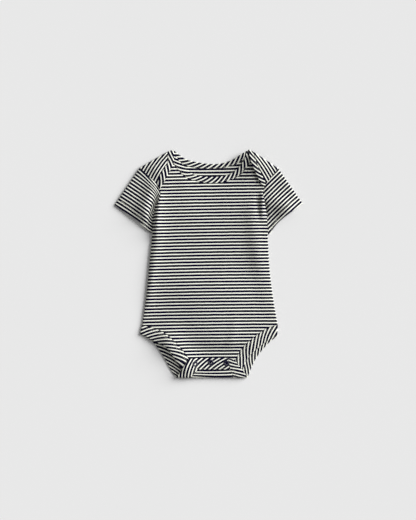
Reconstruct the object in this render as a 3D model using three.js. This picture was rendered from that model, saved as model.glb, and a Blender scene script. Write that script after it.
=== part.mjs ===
// A baby's short-sleeved bodysuit with lapped shoulders, laid flat with its front up.
// Millimetres. +X is to the right of the front, +Y towards the neck, +Z up off the surface.
// The origin lies on the surface, under the middle of the garment.
import * as THREE from "three";

// Walls and seams
const JERSEY = 1.2;
const BINDING = 1.5;
const SEAM = 0.3;

// Heights of the middle of each layer
const BACK_LEVEL = JERSEY / 2;
const BACK_BAND_LEVEL = BINDING / 2;
const FRONT_LEVEL = 2.5;
const FRONT_BAND_LEVEL = 2.65;
const LOWEST_FRONT = 2.2;
const SIDE_SEAM_LEVEL = 2.25;
const LAP_LEVEL = 4.2;
const LAP_BAND_LEVEL = 4.6;
const FLAP_LEVEL = 5.75;
const SLEEVE_LEVEL = 3.8;
const LOWEST_SLEEVE = 2.9;

// Folded edges: how far the middle surface stays inside the outline, and how wide its bend is
const SHOULDER_FOLD = { inset: JERSEY / 2, bend: (LAP_LEVEL - BACK_LEVEL) / 2 };
const CROTCH_FOLD = { inset: JERSEY / 2, bend: (FLAP_LEVEL - BACK_LEVEL) / 2 };
const SIDE_FOLD = { inset: JERSEY / 2, bend: 1.5 };
const UNDERARM_FOLD = { inset: JERSEY / 2, bend: 1.4 };
const SEAM_END = { inset: SEAM / 2, bend: 0 };
const BEND_SHARES = [0, 0.2];
const CURL_FADE = 7;

// Lengthwise places that pieces share
const CROTCH_FOLD_Y = -193.5;
const FLAP_SEAM_Y = -179.8;
const FLAP_END_Y = -160.2;
const FRONT_SEAM_Y = -163;
const FRONT_END_Y = -180.5;

// Snaps
const RING_OUTER = 9;
const RING_INNER = 4.6;
const RING_HEIGHT = 0.9;
const RING_SIDES = 24;
const RING_SECTION_SIDES = 8;
const STUD_DIAMETER = 8.4;
const SNAPS = [
  { x: -22.5, y: -169.6 },
  { x: 3.8, y: -167.2 },
  { x: 30.2, y: -168.6 },
];

// Steps of the grids between folded edges
const LEG_STEPS = 9;
const SIDE_STEPS = 8;
const ARMHOLE_STEPS = 7;
const LAP_STEPS = 5;
const SHOULDER_STEPS = 3;
const NECK_STEPS = 10;
const SLEEVE_STEPS = 6;
const FLAP_STEPS = 3;
const END_BAND_STEPS = 6;
const BAND_COLUMNS = 2;

// Where the back neck's strip folds over each shoulder: its seam line and its free edge
const TIPS = {
  left: { seam: { x: -69.8, y: 190.8 }, free: { x: -59.8, y: 193.5 } },
  right: { seam: { x: 74.5, y: 190.6 }, free: { x: 68.3, y: 193.5 } },
};

// Seam and edge lines as seen from above. Each starts at its crotch or underarm end.
const LINES = {
  left: {
    frontEnd: [{ x: -26.6, y: FRONT_END_Y }, { x: -33, y: FRONT_SEAM_Y }],
    frontLeg: [
      { x: -33, y: FRONT_SEAM_Y },
      { x: -46, y: -144.8 },
      { x: -68.1, y: -122.7 },
      { x: -83.6, y: -113.1 },
      { x: -98.5, y: -107.6 },
      { x: -113.6, y: -105 },
    ],
    frontEndFree: [{ x: -45.3, y: FRONT_END_Y }, { x: -54.7, y: -166.2 }],
    frontLegFree: [
      { x: -54.7, y: -166.2 },
      { x: -66, y: -148.7 },
      { x: -75.6, y: -139.3 },
      { x: -95.6, y: -130 },
      { x: -108.4, y: -122.5 },
      { x: -116.7, y: -119.8 },
    ],
    backLeg: [
      { x: -31.2, y: CROTCH_FOLD_Y },
      { x: -51.3, y: -162.8 },
      { x: -72.2, y: -133 },
      { x: -88.5, y: -115 },
      { x: -113.6, y: -105 },
    ],
    backLegFree: [
      { x: -55, y: CROTCH_FOLD_Y },
      { x: -62.3, y: -184 },
      { x: -77.6, y: -156.8 },
      { x: -95, y: -133.5 },
      { x: -116.7, y: -119.8 },
    ],
    flapSide: [{ x: -31.2, y: CROTCH_FOLD_Y }, { x: -18.5, y: FLAP_SEAM_Y }],
    flapCorner: [{ x: -18.5, y: FLAP_SEAM_Y }, { x: -24.2, y: FLAP_END_Y }],
    flapSideFree: [{ x: -55, y: CROTCH_FOLD_Y }, { x: -45, y: -179 }],
    flapCornerFree: [{ x: -45, y: -179 }, { x: -33.4, y: -161.4 }],
    side: [
      { x: -113.6, y: -105 },
      { x: -108.2, y: -54.8 },
      { x: -104.8, y: -14 },
      { x: -100.6, y: 26.8 },
      { x: -96.4, y: 52.3 },
    ],
    armhole: [
      { x: -96.4, y: 52.3 },
      { x: -94.6, y: 74.4 },
      { x: -90.4, y: 96.5 },
      { x: -83.4, y: 110 },
      { x: -82.7, y: 123.7 },
      { x: -87.6, y: 135.2 },
    ],
    armholeTop: [{ x: -87.6, y: 135.2 }, { x: -117.6, y: 163.1 }],
    hem: [
      { x: -101.2, y: 54.2 },
      { x: -108.2, y: 60.8 },
      { x: -121.8, y: 74.4 },
      { x: -133.7, y: 81.2 },
      { x: -160.2, y: 100.2 },
    ],
    lap: [
      { x: -87.6, y: 135.2 },
      { x: -81, y: 153.8 },
      { x: -71.3, y: 169.7 },
      { x: -69.6, y: 179.8 },
      TIPS.left.seam,
    ],
    lapFree: [
      { x: -83.2, y: 126 },
      { x: -74.4, y: 141 },
      { x: -60.8, y: 168.5 },
      { x: -59.2, y: 180 },
      TIPS.left.free,
    ],
  },
  right: {
    frontEnd: [{ x: 39.7, y: FRONT_END_Y }, { x: 46, y: FRONT_SEAM_Y }],
    frontLeg: [
      { x: 46, y: FRONT_SEAM_Y },
      { x: 54.8, y: -145.5 },
      { x: 65.7, y: -133.9 },
      { x: 91.2, y: -114 },
      { x: 104, y: -108 },
      { x: 117.6, y: -103.5 },
    ],
    frontEndFree: [{ x: 57.2, y: FRONT_END_Y }, { x: 63.5, y: -166 }],
    frontLegFree: [
      { x: 63.5, y: -166 },
      { x: 70.3, y: -155.5 },
      { x: 91.2, y: -137.3 },
      { x: 104, y: -129 },
      { x: 116.4, y: -123.5 },
    ],
    backLeg: [
      { x: 41.9, y: CROTCH_FOLD_Y },
      { x: 52.4, y: -179.8 },
      { x: 66, y: -153.4 },
      { x: 84.7, y: -127.1 },
      { x: 99, y: -113 },
      { x: 117.6, y: -103.5 },
    ],
    backLegFree: [
      { x: 66.2, y: CROTCH_FOLD_Y },
      { x: 75.7, y: -170.3 },
      { x: 84.4, y: -155.5 },
      { x: 101.9, y: -135.2 },
      { x: 116.4, y: -123.5 },
    ],
    flapSide: [{ x: 41.9, y: CROTCH_FOLD_Y }, { x: 36.5, y: FLAP_SEAM_Y }],
    flapCorner: [{ x: 36.5, y: FLAP_SEAM_Y }, { x: 32.5, y: FLAP_END_Y }],
    flapSideFree: [{ x: 66.2, y: CROTCH_FOLD_Y }, { x: 55.5, y: -177.5 }],
    flapCornerFree: [{ x: 55.5, y: -177.5 }, { x: 43, y: -162.8 }],
    side: [
      { x: 117.6, y: -103.5 },
      { x: 109.4, y: -54.8 },
      { x: 104.3, y: -14 },
      { x: 101.7, y: 26.8 },
      { x: 100.9, y: 49.5 },
    ],
    armhole: [
      { x: 100.9, y: 49.5 },
      { x: 98.9, y: 81.2 },
      { x: 96, y: 103.5 },
      { x: 92.2, y: 117 },
      { x: 93.6, y: 127.8 },
      { x: 97.8, y: 136.4 },
    ],
    armholeTop: [{ x: 97.8, y: 136.4 }, { x: 118.7, y: 162.3 }],
    hem: [
      { x: 105, y: 52.5 },
      { x: 116.2, y: 67.6 },
      { x: 131.5, y: 81.2 },
      { x: 160.2, y: 102.5 },
    ],
    lap: [
      { x: 97.8, y: 136.4 },
      { x: 88.8, y: 153.8 },
      { x: 81.7, y: 168.7 },
      TIPS.right.seam,
    ],
    lapFree: [
      { x: 94.6, y: 131.2 },
      { x: 87, y: 139.5 },
      { x: 71.3, y: 173.3 },
      TIPS.right.free,
    ],
  },
};

// Neck lines, from the left shoulder to the right one
const NECK = {
  front: [
    { x: -69.8, y: 187.9 },
    { x: -64.6, y: 177 },
    { x: -47.5, y: 154.1 },
    { x: -30.9, y: 142.9 },
    { x: 9, y: 136.5 },
    { x: 45.3, y: 145.9 },
    { x: 66.7, y: 166.3 },
    { x: 74.2, y: 188 },
  ],
  frontFree: [
    { x: -60, y: 190.2 },
    { x: -48.2, y: 172.5 },
    { x: -26.1, y: 152.4 },
    { x: 6.7, y: 147.5 },
    { x: 35.4, y: 152.4 },
    { x: 55, y: 168.7 },
    { x: 65.2, y: 190.4 },
  ],
  back: [
    TIPS.left.seam,
    { x: -60.1, y: 179.8 },
    { x: -37.3, y: 166.2 },
    { x: 0, y: 161.5 },
    { x: 34.9, y: 165.5 },
    { x: 62, y: 178 },
    TIPS.right.seam,
  ],
  backFree: [
    TIPS.left.free,
    { x: -49.4, y: 185 },
    { x: -32.6, y: 175.7 },
    { x: 6.7, y: 169.7 },
    { x: 34.9, y: 174.5 },
    { x: 57, y: 187.2 },
    TIPS.right.free,
  ],
};

// Soft ridges, and troughs where the height is below zero: the centre, the half length and
// half width, the direction in degrees from +X, and the height
const FRONT_FOLDS = [
  { x: -99, y: -5, length: 118, width: 11, angle: 84, height: 1.2 },
  { x: 101, y: -10, length: 115, width: 11, angle: 95, height: 1.2 },
  { x: 6, y: -72, length: 80, width: 40, angle: 82, height: 1.5 },
  { x: 55, y: -95, length: 50, width: 14, angle: 72, height: -0.5 },
  { x: -8, y: 60, length: 60, width: 38, angle: 100, height: 0.5 },
  { x: 84, y: 60, length: 55, width: 5, angle: 86, height: -0.5 },
];
const SLEEVE_FOLDS = [
  { x: -112, y: 100, length: 42, width: 12, angle: 82, height: 1 },
  { x: -93, y: 88, length: 30, width: 6, angle: 84, height: -0.9 },
  { x: 128, y: 116, length: 34, width: 15, angle: 125, height: 0.9 },
  { x: 105, y: 84, length: 28, width: 8, angle: 100, height: -0.7 },
];

// The front lies low under the laps and under the crotch flap, and is free to rise between them
const FREE_FRONT = { lapEnd: 122, below: 100, flapEnd: -152, above: -122 };

const COLOURS = { jersey: 0x84838a, binding: 0x7c7b85, ring: 0x2a2748, stud: 0xb9bcc2 };

const { clamp, degToRad, smoothstep } = THREE.MathUtils;
const vector = ({ x, y }) => new THREE.Vector2(x, y);
const last = (list) => list[list.length - 1];

// Height of the soft folds at a point: each is a bell across, and a flatter bell along
function relief(folds, x, y) {
  let height = 0;
  for (const fold of folds) {
    const turn = degToRad(fold.angle);
    const along = (x - fold.x) * Math.cos(turn) + (y - fold.y) * Math.sin(turn);
    const across = (y - fold.y) * Math.cos(turn) - (x - fold.x) * Math.sin(turn);
    height += fold.height * Math.exp(-((across / fold.width) ** 2) - (along / fold.length) ** 4);
  }
  return height;
}

function frontLevel(x, y) {
  const belowLaps = 1 - smoothstep(y, FREE_FRONT.below, FREE_FRONT.lapEnd);
  const aboveFlap = smoothstep(y, FREE_FRONT.flapEnd, FREE_FRONT.above);
  const height = FRONT_LEVEL + belowLaps * aboveFlap * relief(FRONT_FOLDS, x, y);
  return Math.max(LOWEST_FRONT, height);
}

const frontBandLevel = (x, y) => frontLevel(x, y) + FRONT_BAND_LEVEL - FRONT_LEVEL;
const sleeveLevel = (x, y) => Math.max(LOWEST_SLEEVE, SLEEVE_LEVEL + relief(SLEEVE_FOLDS, x, y));

// A quarter round: 0 at the folded edge, and 1 from one bend inside it
function quarterRound(distance, bend) {
  const left = 1 - clamp(distance / bend, 0, 1);
  return Math.sqrt(1 - left * left);
}

// Distances along a line in even steps, with closer ones round the bend at a folded end
function stations(length, steps, start, end) {
  const shares = (fold) => (fold && fold.bend > 0 ? BEND_SHARES : []);
  const from = start ? start.inset : 0;
  const to = length - (end ? end.inset : 0);
  const evenFrom = from + (start ? start.bend : 0);
  const evenTo = to - (end ? end.bend : 0);
  const list = shares(start).map((share) => from + share * start.bend);
  for (let k = 0; k <= steps; k += 1) {
    list.push(evenFrom + ((evenTo - evenFrom) * k) / steps);
  }
  list.push(...shares(end).map((share) => to - share * end.bend).reverse());
  return list;
}

// Points along the smooth curve through the rows of a table
function sampled(rows, steps, start, end) {
  const curve = new THREE.SplineCurve(rows.map(vector));
  curve.arcLengthDivisions = 400;
  const length = curve.getLength();
  return stations(length, steps, start, end).map((at) => curve.getPointAt(at / length));
}

function evenly(from, to, steps) {
  const list = [];
  for (let k = 0; k <= steps; k += 1) {
    list.push(from.clone().lerp(to, k / steps));
  }
  return list;
}

// A line moved sideways, to the right of its direction where the distance is above zero
function moved(points, distance) {
  return points.map((point, k) => {
    const before = points[Math.max(k - 1, 0)];
    const after = points[Math.min(k + 1, points.length - 1)];
    const way = after.clone().sub(before).normalize();
    return new THREE.Vector2(point.x + way.y * distance, point.y - way.x * distance);
  });
}

// Lines end to end, each but the first without its first point
const joined = (first, ...rest) => first.concat(...rest.map((part) => part.slice(1)));

function lengthsAlong(points) {
  const list = [0];
  for (let k = 1; k < points.length; k += 1) {
    list.push(list[k - 1] + points[k].distanceTo(points[k - 1]));
  }
  return list;
}

function pointAtShare(points, share) {
  const place = share * (points.length - 1);
  const index = Math.min(Math.floor(place), points.length - 2);
  return points[index].clone().lerp(points[index + 1], place - index);
}

const raised = (rows, heightOf) =>
  rows.map((row) => row.map((point) => new THREE.Vector3(point.x, point.y, heightOf(point))));

// Rows of points between four lines, each row from left to right. The shapes of the bottom and
// top lines fade out quickly away from them, and the rows are evenly spaced down the middle.
function panelRows({ left, right, bottom, top, columns }) {
  const fadePower = 3;
  const leftLengths = lengthsAlong(left);
  const rightLengths = lengthsAlong(right);
  const bow = (line, share) =>
    pointAtShare(line, share).sub(line[0].clone().lerp(last(line), share));
  const middleBottom = pointAtShare(bottom, 0.5).y;
  const middleTop = pointAtShare(top, 0.5).y;
  return left.map((leftPoint, row) => {
    const rightPoint = right[row];
    const up = (leftLengths[row] / last(leftLengths) + rightLengths[row] / last(rightLengths)) / 2;
    const place = (share) =>
      leftPoint
        .clone()
        .lerp(rightPoint, share)
        .addScaledVector(bow(bottom, share), (1 - up) ** fadePower)
        .addScaledVector(bow(top, share), up ** fadePower);
    const lift = middleBottom + (middleTop - middleBottom) * up - place(0.5).y;
    const edge = [...BEND_SHARES, 1].map(
      (share) => (share * SIDE_FOLD.bend) / leftPoint.distanceTo(rightPoint),
    );
    const shares = [...edge];
    for (let k = 1; k < columns; k += 1) {
      shares.push(k / columns);
    }
    shares.push(...edge.map((share) => 1 - share).reverse());
    return shares.map((share) => {
      const point = place(share);
      point.y += lift * 4 * share * (1 - share);
      return point;
    });
  });
}

// A closed wall of even thickness about a middle surface, which is given as patches of rows of
// points. Patches are joined where they share points.
function wall(patches, thickness) {
  const middle = [];
  const known = new Map();
  const indexOf = (point) => {
    const key = [point.x, point.y, point.z].map((value) => Math.round(value * 1e3)).join(" ");
    if (!known.has(key)) {
      known.set(key, middle.length);
      middle.push(point);
    }
    return known.get(key);
  };
  const faces = [];
  const addFace = (...corners) => {
    if (new Set(corners).size === 3) {
      faces.push(corners);
    }
  };
  for (const rows of patches) {
    const ids = rows.map((row) => row.map(indexOf));
    for (let r = 0; r + 1 < ids.length; r += 1) {
      for (let c = 0; c + 1 < ids[r].length; c += 1) {
        const [a, b, d, e] = [ids[r][c], ids[r][c + 1], ids[r + 1][c + 1], ids[r + 1][c]];
        if (middle[a].distanceTo(middle[d]) <= middle[b].distanceTo(middle[e])) {
          addFace(a, b, d);
          addFace(a, d, e);
        } else {
          addFace(a, b, e);
          addFace(b, d, e);
        }
      }
    }
  }
  const normals = middle.map(() => new THREE.Vector3());
  const rim = new Map();
  for (const [a, b, c] of faces) {
    const side = middle[b].clone().sub(middle[a]);
    const normal = side.cross(middle[c].clone().sub(middle[a]));
    for (const corner of [a, b, c]) {
      normals[corner].add(normal);
    }
    for (const [from, to] of [[a, b], [b, c], [c, a]]) {
      if (!rim.delete(`${to} ${from}`)) {
        rim.set(`${from} ${to}`, [from, to]);
      }
    }
  }
  const points = [];
  for (const side of [1, -1]) {
    middle.forEach((point, k) => {
      const out = normals[k].clone().normalize();
      points.push(point.clone().addScaledVector(out, (side * thickness) / 2));
    });
  }
  const under = middle.length;
  const index = [];
  for (const [a, b, c] of faces) {
    index.push(a, b, c, under + a, under + c, under + b);
  }
  for (const [from, to] of rim.values()) {
    index.push(to, from, under + from, to, under + from, under + to);
  }
  return new THREE.BufferGeometry().setFromPoints(points).setIndex(index);
}

// Lines of one side of the garment, sampled once so that neighbours share their points
function sideLines({ name, inward }) {
  const lines = LINES[name];
  const armhole = joined(
    sampled(lines.armhole, ARMHOLE_STEPS, UNDERARM_FOLD, null),
    sampled(lines.armholeTop, LAP_STEPS, null, SHOULDER_FOLD),
  );
  const side = sampled(lines.side, SIDE_STEPS);
  const backLeg = sampled(lines.backLeg, LEG_STEPS, CROTCH_FOLD, SIDE_FOLD);
  const movedBackLeg = moved(backLeg, (inward * SEAM) / 2);
  for (const point of movedBackLeg.slice(0, BEND_SHARES.length + 1)) {
    point.x += (inward * SEAM) / 2;
  }
  return {
    inward,
    armhole,
    side,
    frontLeg: sampled(lines.frontLeg, LEG_STEPS, SEAM_END, SIDE_FOLD),
    backLeg,
    movedBackLeg,
    lap: sampled(lines.lap, LAP_STEPS, null, SHOULDER_FOLD),
    flapSide: sampled(lines.flapSide, FLAP_STEPS, CROTCH_FOLD, SEAM_END),
    movedSide: moved(side, (inward * JERSEY) / 2),
    movedArmhole: moved(armhole, (inward * SEAM) / 2),
    shoulder: [last(lines.armholeTop), last(lines.lap)].map(vector),
  };
}

const SIDES = {
  left: sideLines({ name: "left", inward: 1 }),
  right: sideLines({ name: "right", inward: -1 }),
};
const NECK_LINES = {
  front: sampled(NECK.front, NECK_STEPS),
  back: sampled(NECK.back, NECK_STEPS, SHOULDER_FOLD, SHOULDER_FOLD),
};

// Distance of a point inside the side edge of the middle surface
function insideSide({ side, inward }, point) {
  let k = 1;
  while (k < side.length - 1 && side[k].y < point.y) {
    k += 1;
  }
  const [low, high] = [side[k - 1], side[k]];
  const edge = low.x + ((high.x - low.x) * (point.y - low.y)) / (high.y - low.y);
  return (point.x - edge) * inward - SIDE_FOLD.inset;
}

// Distance of a point inside the shoulder edge of the middle surface
function insideShoulder({ shoulder: [from, to] }, point) {
  const way = to.clone().sub(from).normalize();
  return Math.abs(way.cross(point.clone().sub(from))) - SHOULDER_FOLD.inset;
}

// Front and back curl towards each other at the side seam, from the hip to the underarm
function curled(point, level, seamLevel) {
  let height = level;
  for (const lines of Object.values(SIDES)) {
    const underarm = last(lines.side).y;
    const share = 1 - smoothstep(point.y, underarm - CURL_FADE, underarm);
    const round = quarterRound(insideSide(lines, point), SIDE_FOLD.bend);
    height += (seamLevel - level) * share * (1 - round);
  }
  return height;
}

// Height of a layer's middle surface near a fold
const folded = (level, middle, distance, bend) =>
  level + (middle - level) * (1 - quarterRound(distance, bend));

function backHeight(point) {
  const shoulderMiddle = (LAP_LEVEL + BACK_LEVEL) / 2;
  const crotchMiddle = (FLAP_LEVEL + BACK_LEVEL) / 2;
  const crotchDistance = point.y - CROTCH_FOLD_Y - CROTCH_FOLD.inset;
  const heights = [
    curled(point, BACK_LEVEL, SIDE_SEAM_LEVEL - SEAM),
    folded(BACK_LEVEL, shoulderMiddle, insideShoulder(SIDES.left, point), SHOULDER_FOLD.bend),
    folded(BACK_LEVEL, shoulderMiddle, insideShoulder(SIDES.right, point), SHOULDER_FOLD.bend),
    folded(BACK_LEVEL, crotchMiddle, crotchDistance, CROTCH_FOLD.bend),
  ];
  return Math.max(...heights);
}

function frontBody() {
  const boundary = ({ frontLeg, movedSide, movedArmhole, inward }) => {
    const belowFold = movedArmhole.slice(0, -BEND_SHARES.length);
    return joined(moved(frontLeg, (inward * SEAM) / 2), movedSide, belowFold);
  };
  const left = boundary(SIDES.left);
  const right = boundary(SIDES.right);
  const neck = moved(NECK_LINES.front, SEAM / 2);
  const top = joined(
    evenly(last(left), neck[0], SHOULDER_STEPS),
    neck,
    evenly(last(neck), last(right), SHOULDER_STEPS),
  );
  const columns = top.length - 1;
  const bottom = evenly(left[0], right[0], columns);
  const rows = panelRows({ left, right, bottom, top, columns });
  const heightOf = (point) =>
    curled(point, frontLevel(point.x, point.y), SIDE_SEAM_LEVEL + SEAM);
  return wall([raised(rows, heightOf)], JERSEY);
}

// The back with its shoulder laps and crotch flap, which go on from its folded edges
function backBody() {
  const boundary = ({ movedBackLeg, movedSide, movedArmhole }) =>
    joined(movedBackLeg, movedSide, movedArmhole);
  const left = boundary(SIDES.left);
  const right = boundary(SIDES.right);
  const neck = moved(NECK_LINES.back, SEAM / 2);
  const top = joined(
    evenly(last(left), neck[0], SHOULDER_STEPS),
    neck,
    evenly(last(neck), last(right), SHOULDER_STEPS),
  );
  const columns = top.length - 1;
  const bottom = evenly(left[0], right[0], columns);
  const main = raised(panelRows({ left, right, bottom, top, columns }), backHeight);
  const shoulderCount = BEND_SHARES.length + SHOULDER_STEPS + 1;
  const laps = [
    lapRows(SIDES.left, last(main).slice(0, shoulderCount)),
    lapRows(SIDES.right, last(main).slice(-shoulderCount).reverse()).map((row) => row.reverse()),
  ];
  return wall([main, ...laps, flapRows(main[0])], JERSEY);
}

// A lap lies over the front. It goes on from the shoulder's folded edge, whose points run from
// the armhole to the neck, and narrows to the place where the armhole cuts it off.
function lapRows(lines, foldedEdge) {
  const { movedArmhole, lap, inward } = lines;
  const armholeEdge = movedArmhole.slice(-lap.length).reverse();
  const neckEdge = moved(lap, (-inward * SEAM) / 2).reverse();
  const start = foldedEdge[0];
  const end = last(foldedEdge);
  const shares = foldedEdge.map((point) => point.distanceTo(start) / end.distanceTo(start));
  const middleOfFold = new THREE.Vector2((start.x + end.x) / 2, (start.y + end.y) / 2);
  const way = middleOfFold.sub(lap[0]).normalize();
  const tip = lap[0].clone().addScaledVector(way, 2 * SEAM);
  const plan = armholeEdge.map((point, row) => {
    const isTip = row === armholeEdge.length - 1;
    return shares.map((share) => (isTip ? tip : point.clone().lerp(neckEdge[row], share)));
  });
  const middle = (LAP_LEVEL + BACK_LEVEL) / 2;
  const heightOf = (point) =>
    folded(LAP_LEVEL, middle, insideShoulder(lines, point), SHOULDER_FOLD.bend);
  return [foldedEdge, ...raised(plan.slice(1), heightOf)];
}

// The crotch flap lies over the front's end, from the crotch fold up to the end binding
function flapRows(foldedEdge) {
  const left = moved(SIDES.left.flapSide, SEAM / 2);
  const right = moved(SIDES.right.flapSide, -SEAM / 2);
  const start = foldedEdge[0];
  const end = last(foldedEdge);
  const shares = foldedEdge.map((point) => point.distanceTo(start) / end.distanceTo(start));
  const plan = left.map((point, row) => shares.map((share) => point.clone().lerp(right[row], share)));
  const middle = (FLAP_LEVEL + BACK_LEVEL) / 2;
  const heightOf = ({ y }) =>
    folded(FLAP_LEVEL, middle, y - CROTCH_FOLD_Y - CROTCH_FOLD.inset, CROTCH_FOLD.bend);
  return [foldedEdge, ...raised(plan.slice(1), heightOf)].reverse();
}

// A sleeve is a flat tube of rings, from the armhole to the open hem. Each ring goes along the
// front layer from the underarm to the top fold, and returns along the back layer.
function sleeve(name) {
  const { armhole, inward } = SIDES[name];
  const steps = ARMHOLE_STEPS + LAP_STEPS;
  const hem = sampled(LINES[name].hem, steps, UNDERARM_FOLD, SHOULDER_FOLD);
  const seamEdge = moved(armhole, (-inward * SEAM) / 2);
  const along = lengthsAlong(armhole);
  const middle = (LAP_LEVEL + BACK_LEVEL) / 2;
  const rings = [];
  for (let step = 0; step <= SLEEVE_STEPS; step += 1) {
    const ring = (levelOf) =>
      seamEdge.map((point, k) => {
        const { x, y } = point.clone().lerp(hem[k], step / SLEEVE_STEPS);
        const level = levelOf(x, y);
        const round =
          quarterRound(along[k], UNDERARM_FOLD.bend) *
          quarterRound(last(along) - along[k], SHOULDER_FOLD.bend);
        return new THREE.Vector3(x, y, middle + (level - middle) * round);
      });
    rings.push(joined(ring(sleeveLevel), ring(() => BACK_LEVEL).reverse()));
  }
  return wall([rings], JERSEY);
}

// One run of a strip between its seam line and its free edge. A folded start or end has the
// height of its bend's middle and the bend's width.
function run({ seam, free, level, start, end }) {
  const along = lengthsAlong(seam);
  const rise = (height, fold, distance) =>
    fold ? (fold.middle - height) * (1 - quarterRound(distance, fold.bend)) : 0;
  return seam.map((seamPoint, row) => {
    const across = free[row].clone().sub(seamPoint).normalize();
    const from = seamPoint.clone().addScaledVector(across, SEAM / 2);
    return evenly(from, free[row], BAND_COLUMNS).map(({ x, y }) => {
      const height = level(x, y);
      const startRise = rise(height, start, along[row]);
      const endRise = rise(height, end, last(along) - along[row]);
      return new THREE.Vector3(x, y, height + startRise + endRise);
    });
  });
}

const strip = (...runs) => wall([joined(...runs)], BINDING);

function legBinding(name) {
  const lines = LINES[name];
  const { frontLeg, backLeg, flapSide } = SIDES[name];
  const hip = { middle: SIDE_SEAM_LEVEL, bend: SIDE_FOLD.bend };
  const crotch = { middle: (FLAP_LEVEL + BACK_BAND_LEVEL) / 2, bend: CROTCH_FOLD.bend };
  const front = run({
    seam: joined(sampled(lines.frontEnd, FLAP_STEPS), frontLeg),
    free: joined(
      sampled(lines.frontEndFree, FLAP_STEPS),
      sampled(lines.frontLegFree, LEG_STEPS, null, SIDE_FOLD),
    ),
    level: frontBandLevel,
    end: hip,
  });
  const back = run({
    seam: [...backLeg].reverse(),
    free: sampled(lines.backLegFree, LEG_STEPS, CROTCH_FOLD, SIDE_FOLD).reverse(),
    level: () => BACK_BAND_LEVEL,
    start: hip,
    end: crotch,
  });
  const flap = run({
    seam: joined(flapSide, sampled(lines.flapCorner, FLAP_STEPS)),
    free: joined(
      sampled(lines.flapSideFree, FLAP_STEPS, CROTCH_FOLD, SEAM_END),
      sampled(lines.flapCornerFree, FLAP_STEPS),
    ),
    level: () => FLAP_LEVEL,
    start: crotch,
  });
  return strip(front, back, flap);
}

function backNeckBinding() {
  const shoulder = { middle: (LAP_BAND_LEVEL + BACK_BAND_LEVEL) / 2, bend: SHOULDER_FOLD.bend };
  const freeLap = (name) => sampled(LINES[name].lapFree, LAP_STEPS, null, SHOULDER_FOLD);
  return strip(
    run({
      seam: SIDES.left.lap,
      free: freeLap("left"),
      level: () => LAP_BAND_LEVEL,
      end: shoulder,
    }),
    run({
      seam: NECK_LINES.back,
      free: sampled(NECK.backFree, NECK_STEPS, SHOULDER_FOLD, SHOULDER_FOLD),
      level: () => BACK_BAND_LEVEL,
      start: shoulder,
      end: shoulder,
    }),
    run({
      seam: [...SIDES.right.lap].reverse(),
      free: freeLap("right").reverse(),
      level: () => LAP_BAND_LEVEL,
      start: shoulder,
    }),
  );
}

const frontNeckBinding = () =>
  strip(
    run({
      seam: NECK_LINES.front,
      free: sampled(NECK.frontFree, NECK_STEPS),
      level: () => FRONT_BAND_LEVEL,
    }),
  );

// A strip across the crotch, between the corners that the leg bindings' seam lines give
function endBinding(seamEnds, freeEnds, level) {
  return strip(
    run({
      seam: sampled(seamEnds, END_BAND_STEPS, SEAM_END, SEAM_END),
      free: sampled(freeEnds, END_BAND_STEPS, SEAM_END, SEAM_END),
      level: () => level,
    }),
  );
}

const flapEndBinding = () =>
  endBinding(
    [LINES.left.flapCorner[0], LINES.right.flapCorner[0]],
    [last(LINES.left.flapCorner), last(LINES.right.flapCorner)],
    FLAP_LEVEL,
  );

const frontEndBinding = () =>
  endBinding(
    [last(LINES.left.frontEnd), last(LINES.right.frontEnd)],
    [LINES.left.frontEnd[0], LINES.right.frontEnd[0]],
    FRONT_BAND_LEVEL,
  );

// A low ring with an oval section, centred on its own middle
function snapRing() {
  const middleRadius = (RING_OUTER + RING_INNER) / 4;
  const halfWidth = (RING_OUTER - RING_INNER) / 4;
  const section = [];
  for (let k = 0; k <= RING_SECTION_SIDES; k += 1) {
    const turn = (2 * Math.PI * (k % RING_SECTION_SIDES)) / RING_SECTION_SIDES;
    const x = middleRadius + halfWidth * Math.cos(turn);
    section.push(new THREE.Vector2(x, (RING_HEIGHT / 2) * Math.sin(turn)));
  }
  return new THREE.LatheGeometry(section, RING_SIDES).rotateX(Math.PI / 2);
}

const garment = new THREE.Group();

function add(name, geometry, color, { roughness = 0.95, metalness = 0 } = {}) {
  const mesh = new THREE.Mesh(
    geometry,
    new THREE.MeshStandardMaterial({ color, roughness, metalness }),
  );
  mesh.name = name;
  garment.add(mesh);
  return mesh;
}

add("back_body", backBody(), COLOURS.jersey);
add("front_body", frontBody(), COLOURS.jersey);
for (const name of Object.keys(SIDES)) {
  add(`sleeve_${name}`, sleeve(name), COLOURS.jersey);
  add(`leg_binding_${name}`, legBinding(name), COLOURS.binding);
}
add("neck_binding_back", backNeckBinding(), COLOURS.binding);
add("neck_binding_front", frontNeckBinding(), COLOURS.binding);
add("flap_end_binding", flapEndBinding(), COLOURS.binding);
add("front_end_binding", frontEndBinding(), COLOURS.binding);

const flapTop = FLAP_LEVEL + BINDING / 2;
const studBottom = FRONT_BAND_LEVEL + BINDING / 2 + SEAM;
const studTop = FLAP_LEVEL - BINDING / 2 - SEAM;
SNAPS.forEach(({ x, y }, k) => {
  const ring = add(`snap_ring_${k + 1}`, snapRing(), COLOURS.ring, { roughness: 0.4 });
  ring.position.set(x, y, flapTop + SEAM + RING_HEIGHT / 2);
  const radius = STUD_DIAMETER / 2;
  const disc = new THREE.CylinderGeometry(radius, radius, studTop - studBottom, RING_SIDES);
  const metal = { roughness: 0.35, metalness: 0.9 };
  const stud = add(`snap_stud_${k + 1}`, disc.rotateX(Math.PI / 2), COLOURS.stud, metal);
  stud.position.set(x, y, (studBottom + studTop) / 2);
});

export default garment;
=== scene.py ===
"""A baby's bodysuit of striped jersey, laid flat with its front up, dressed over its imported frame.

Plan sizes and heights are in millimetres in the frame's axes: +X to the right, +Y to the neck
and +Z up off the floor. Meshes are written in metres.
"""

from __future__ import annotations

import logging
from dataclasses import dataclass
from enum import Enum
from typing import Callable

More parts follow.
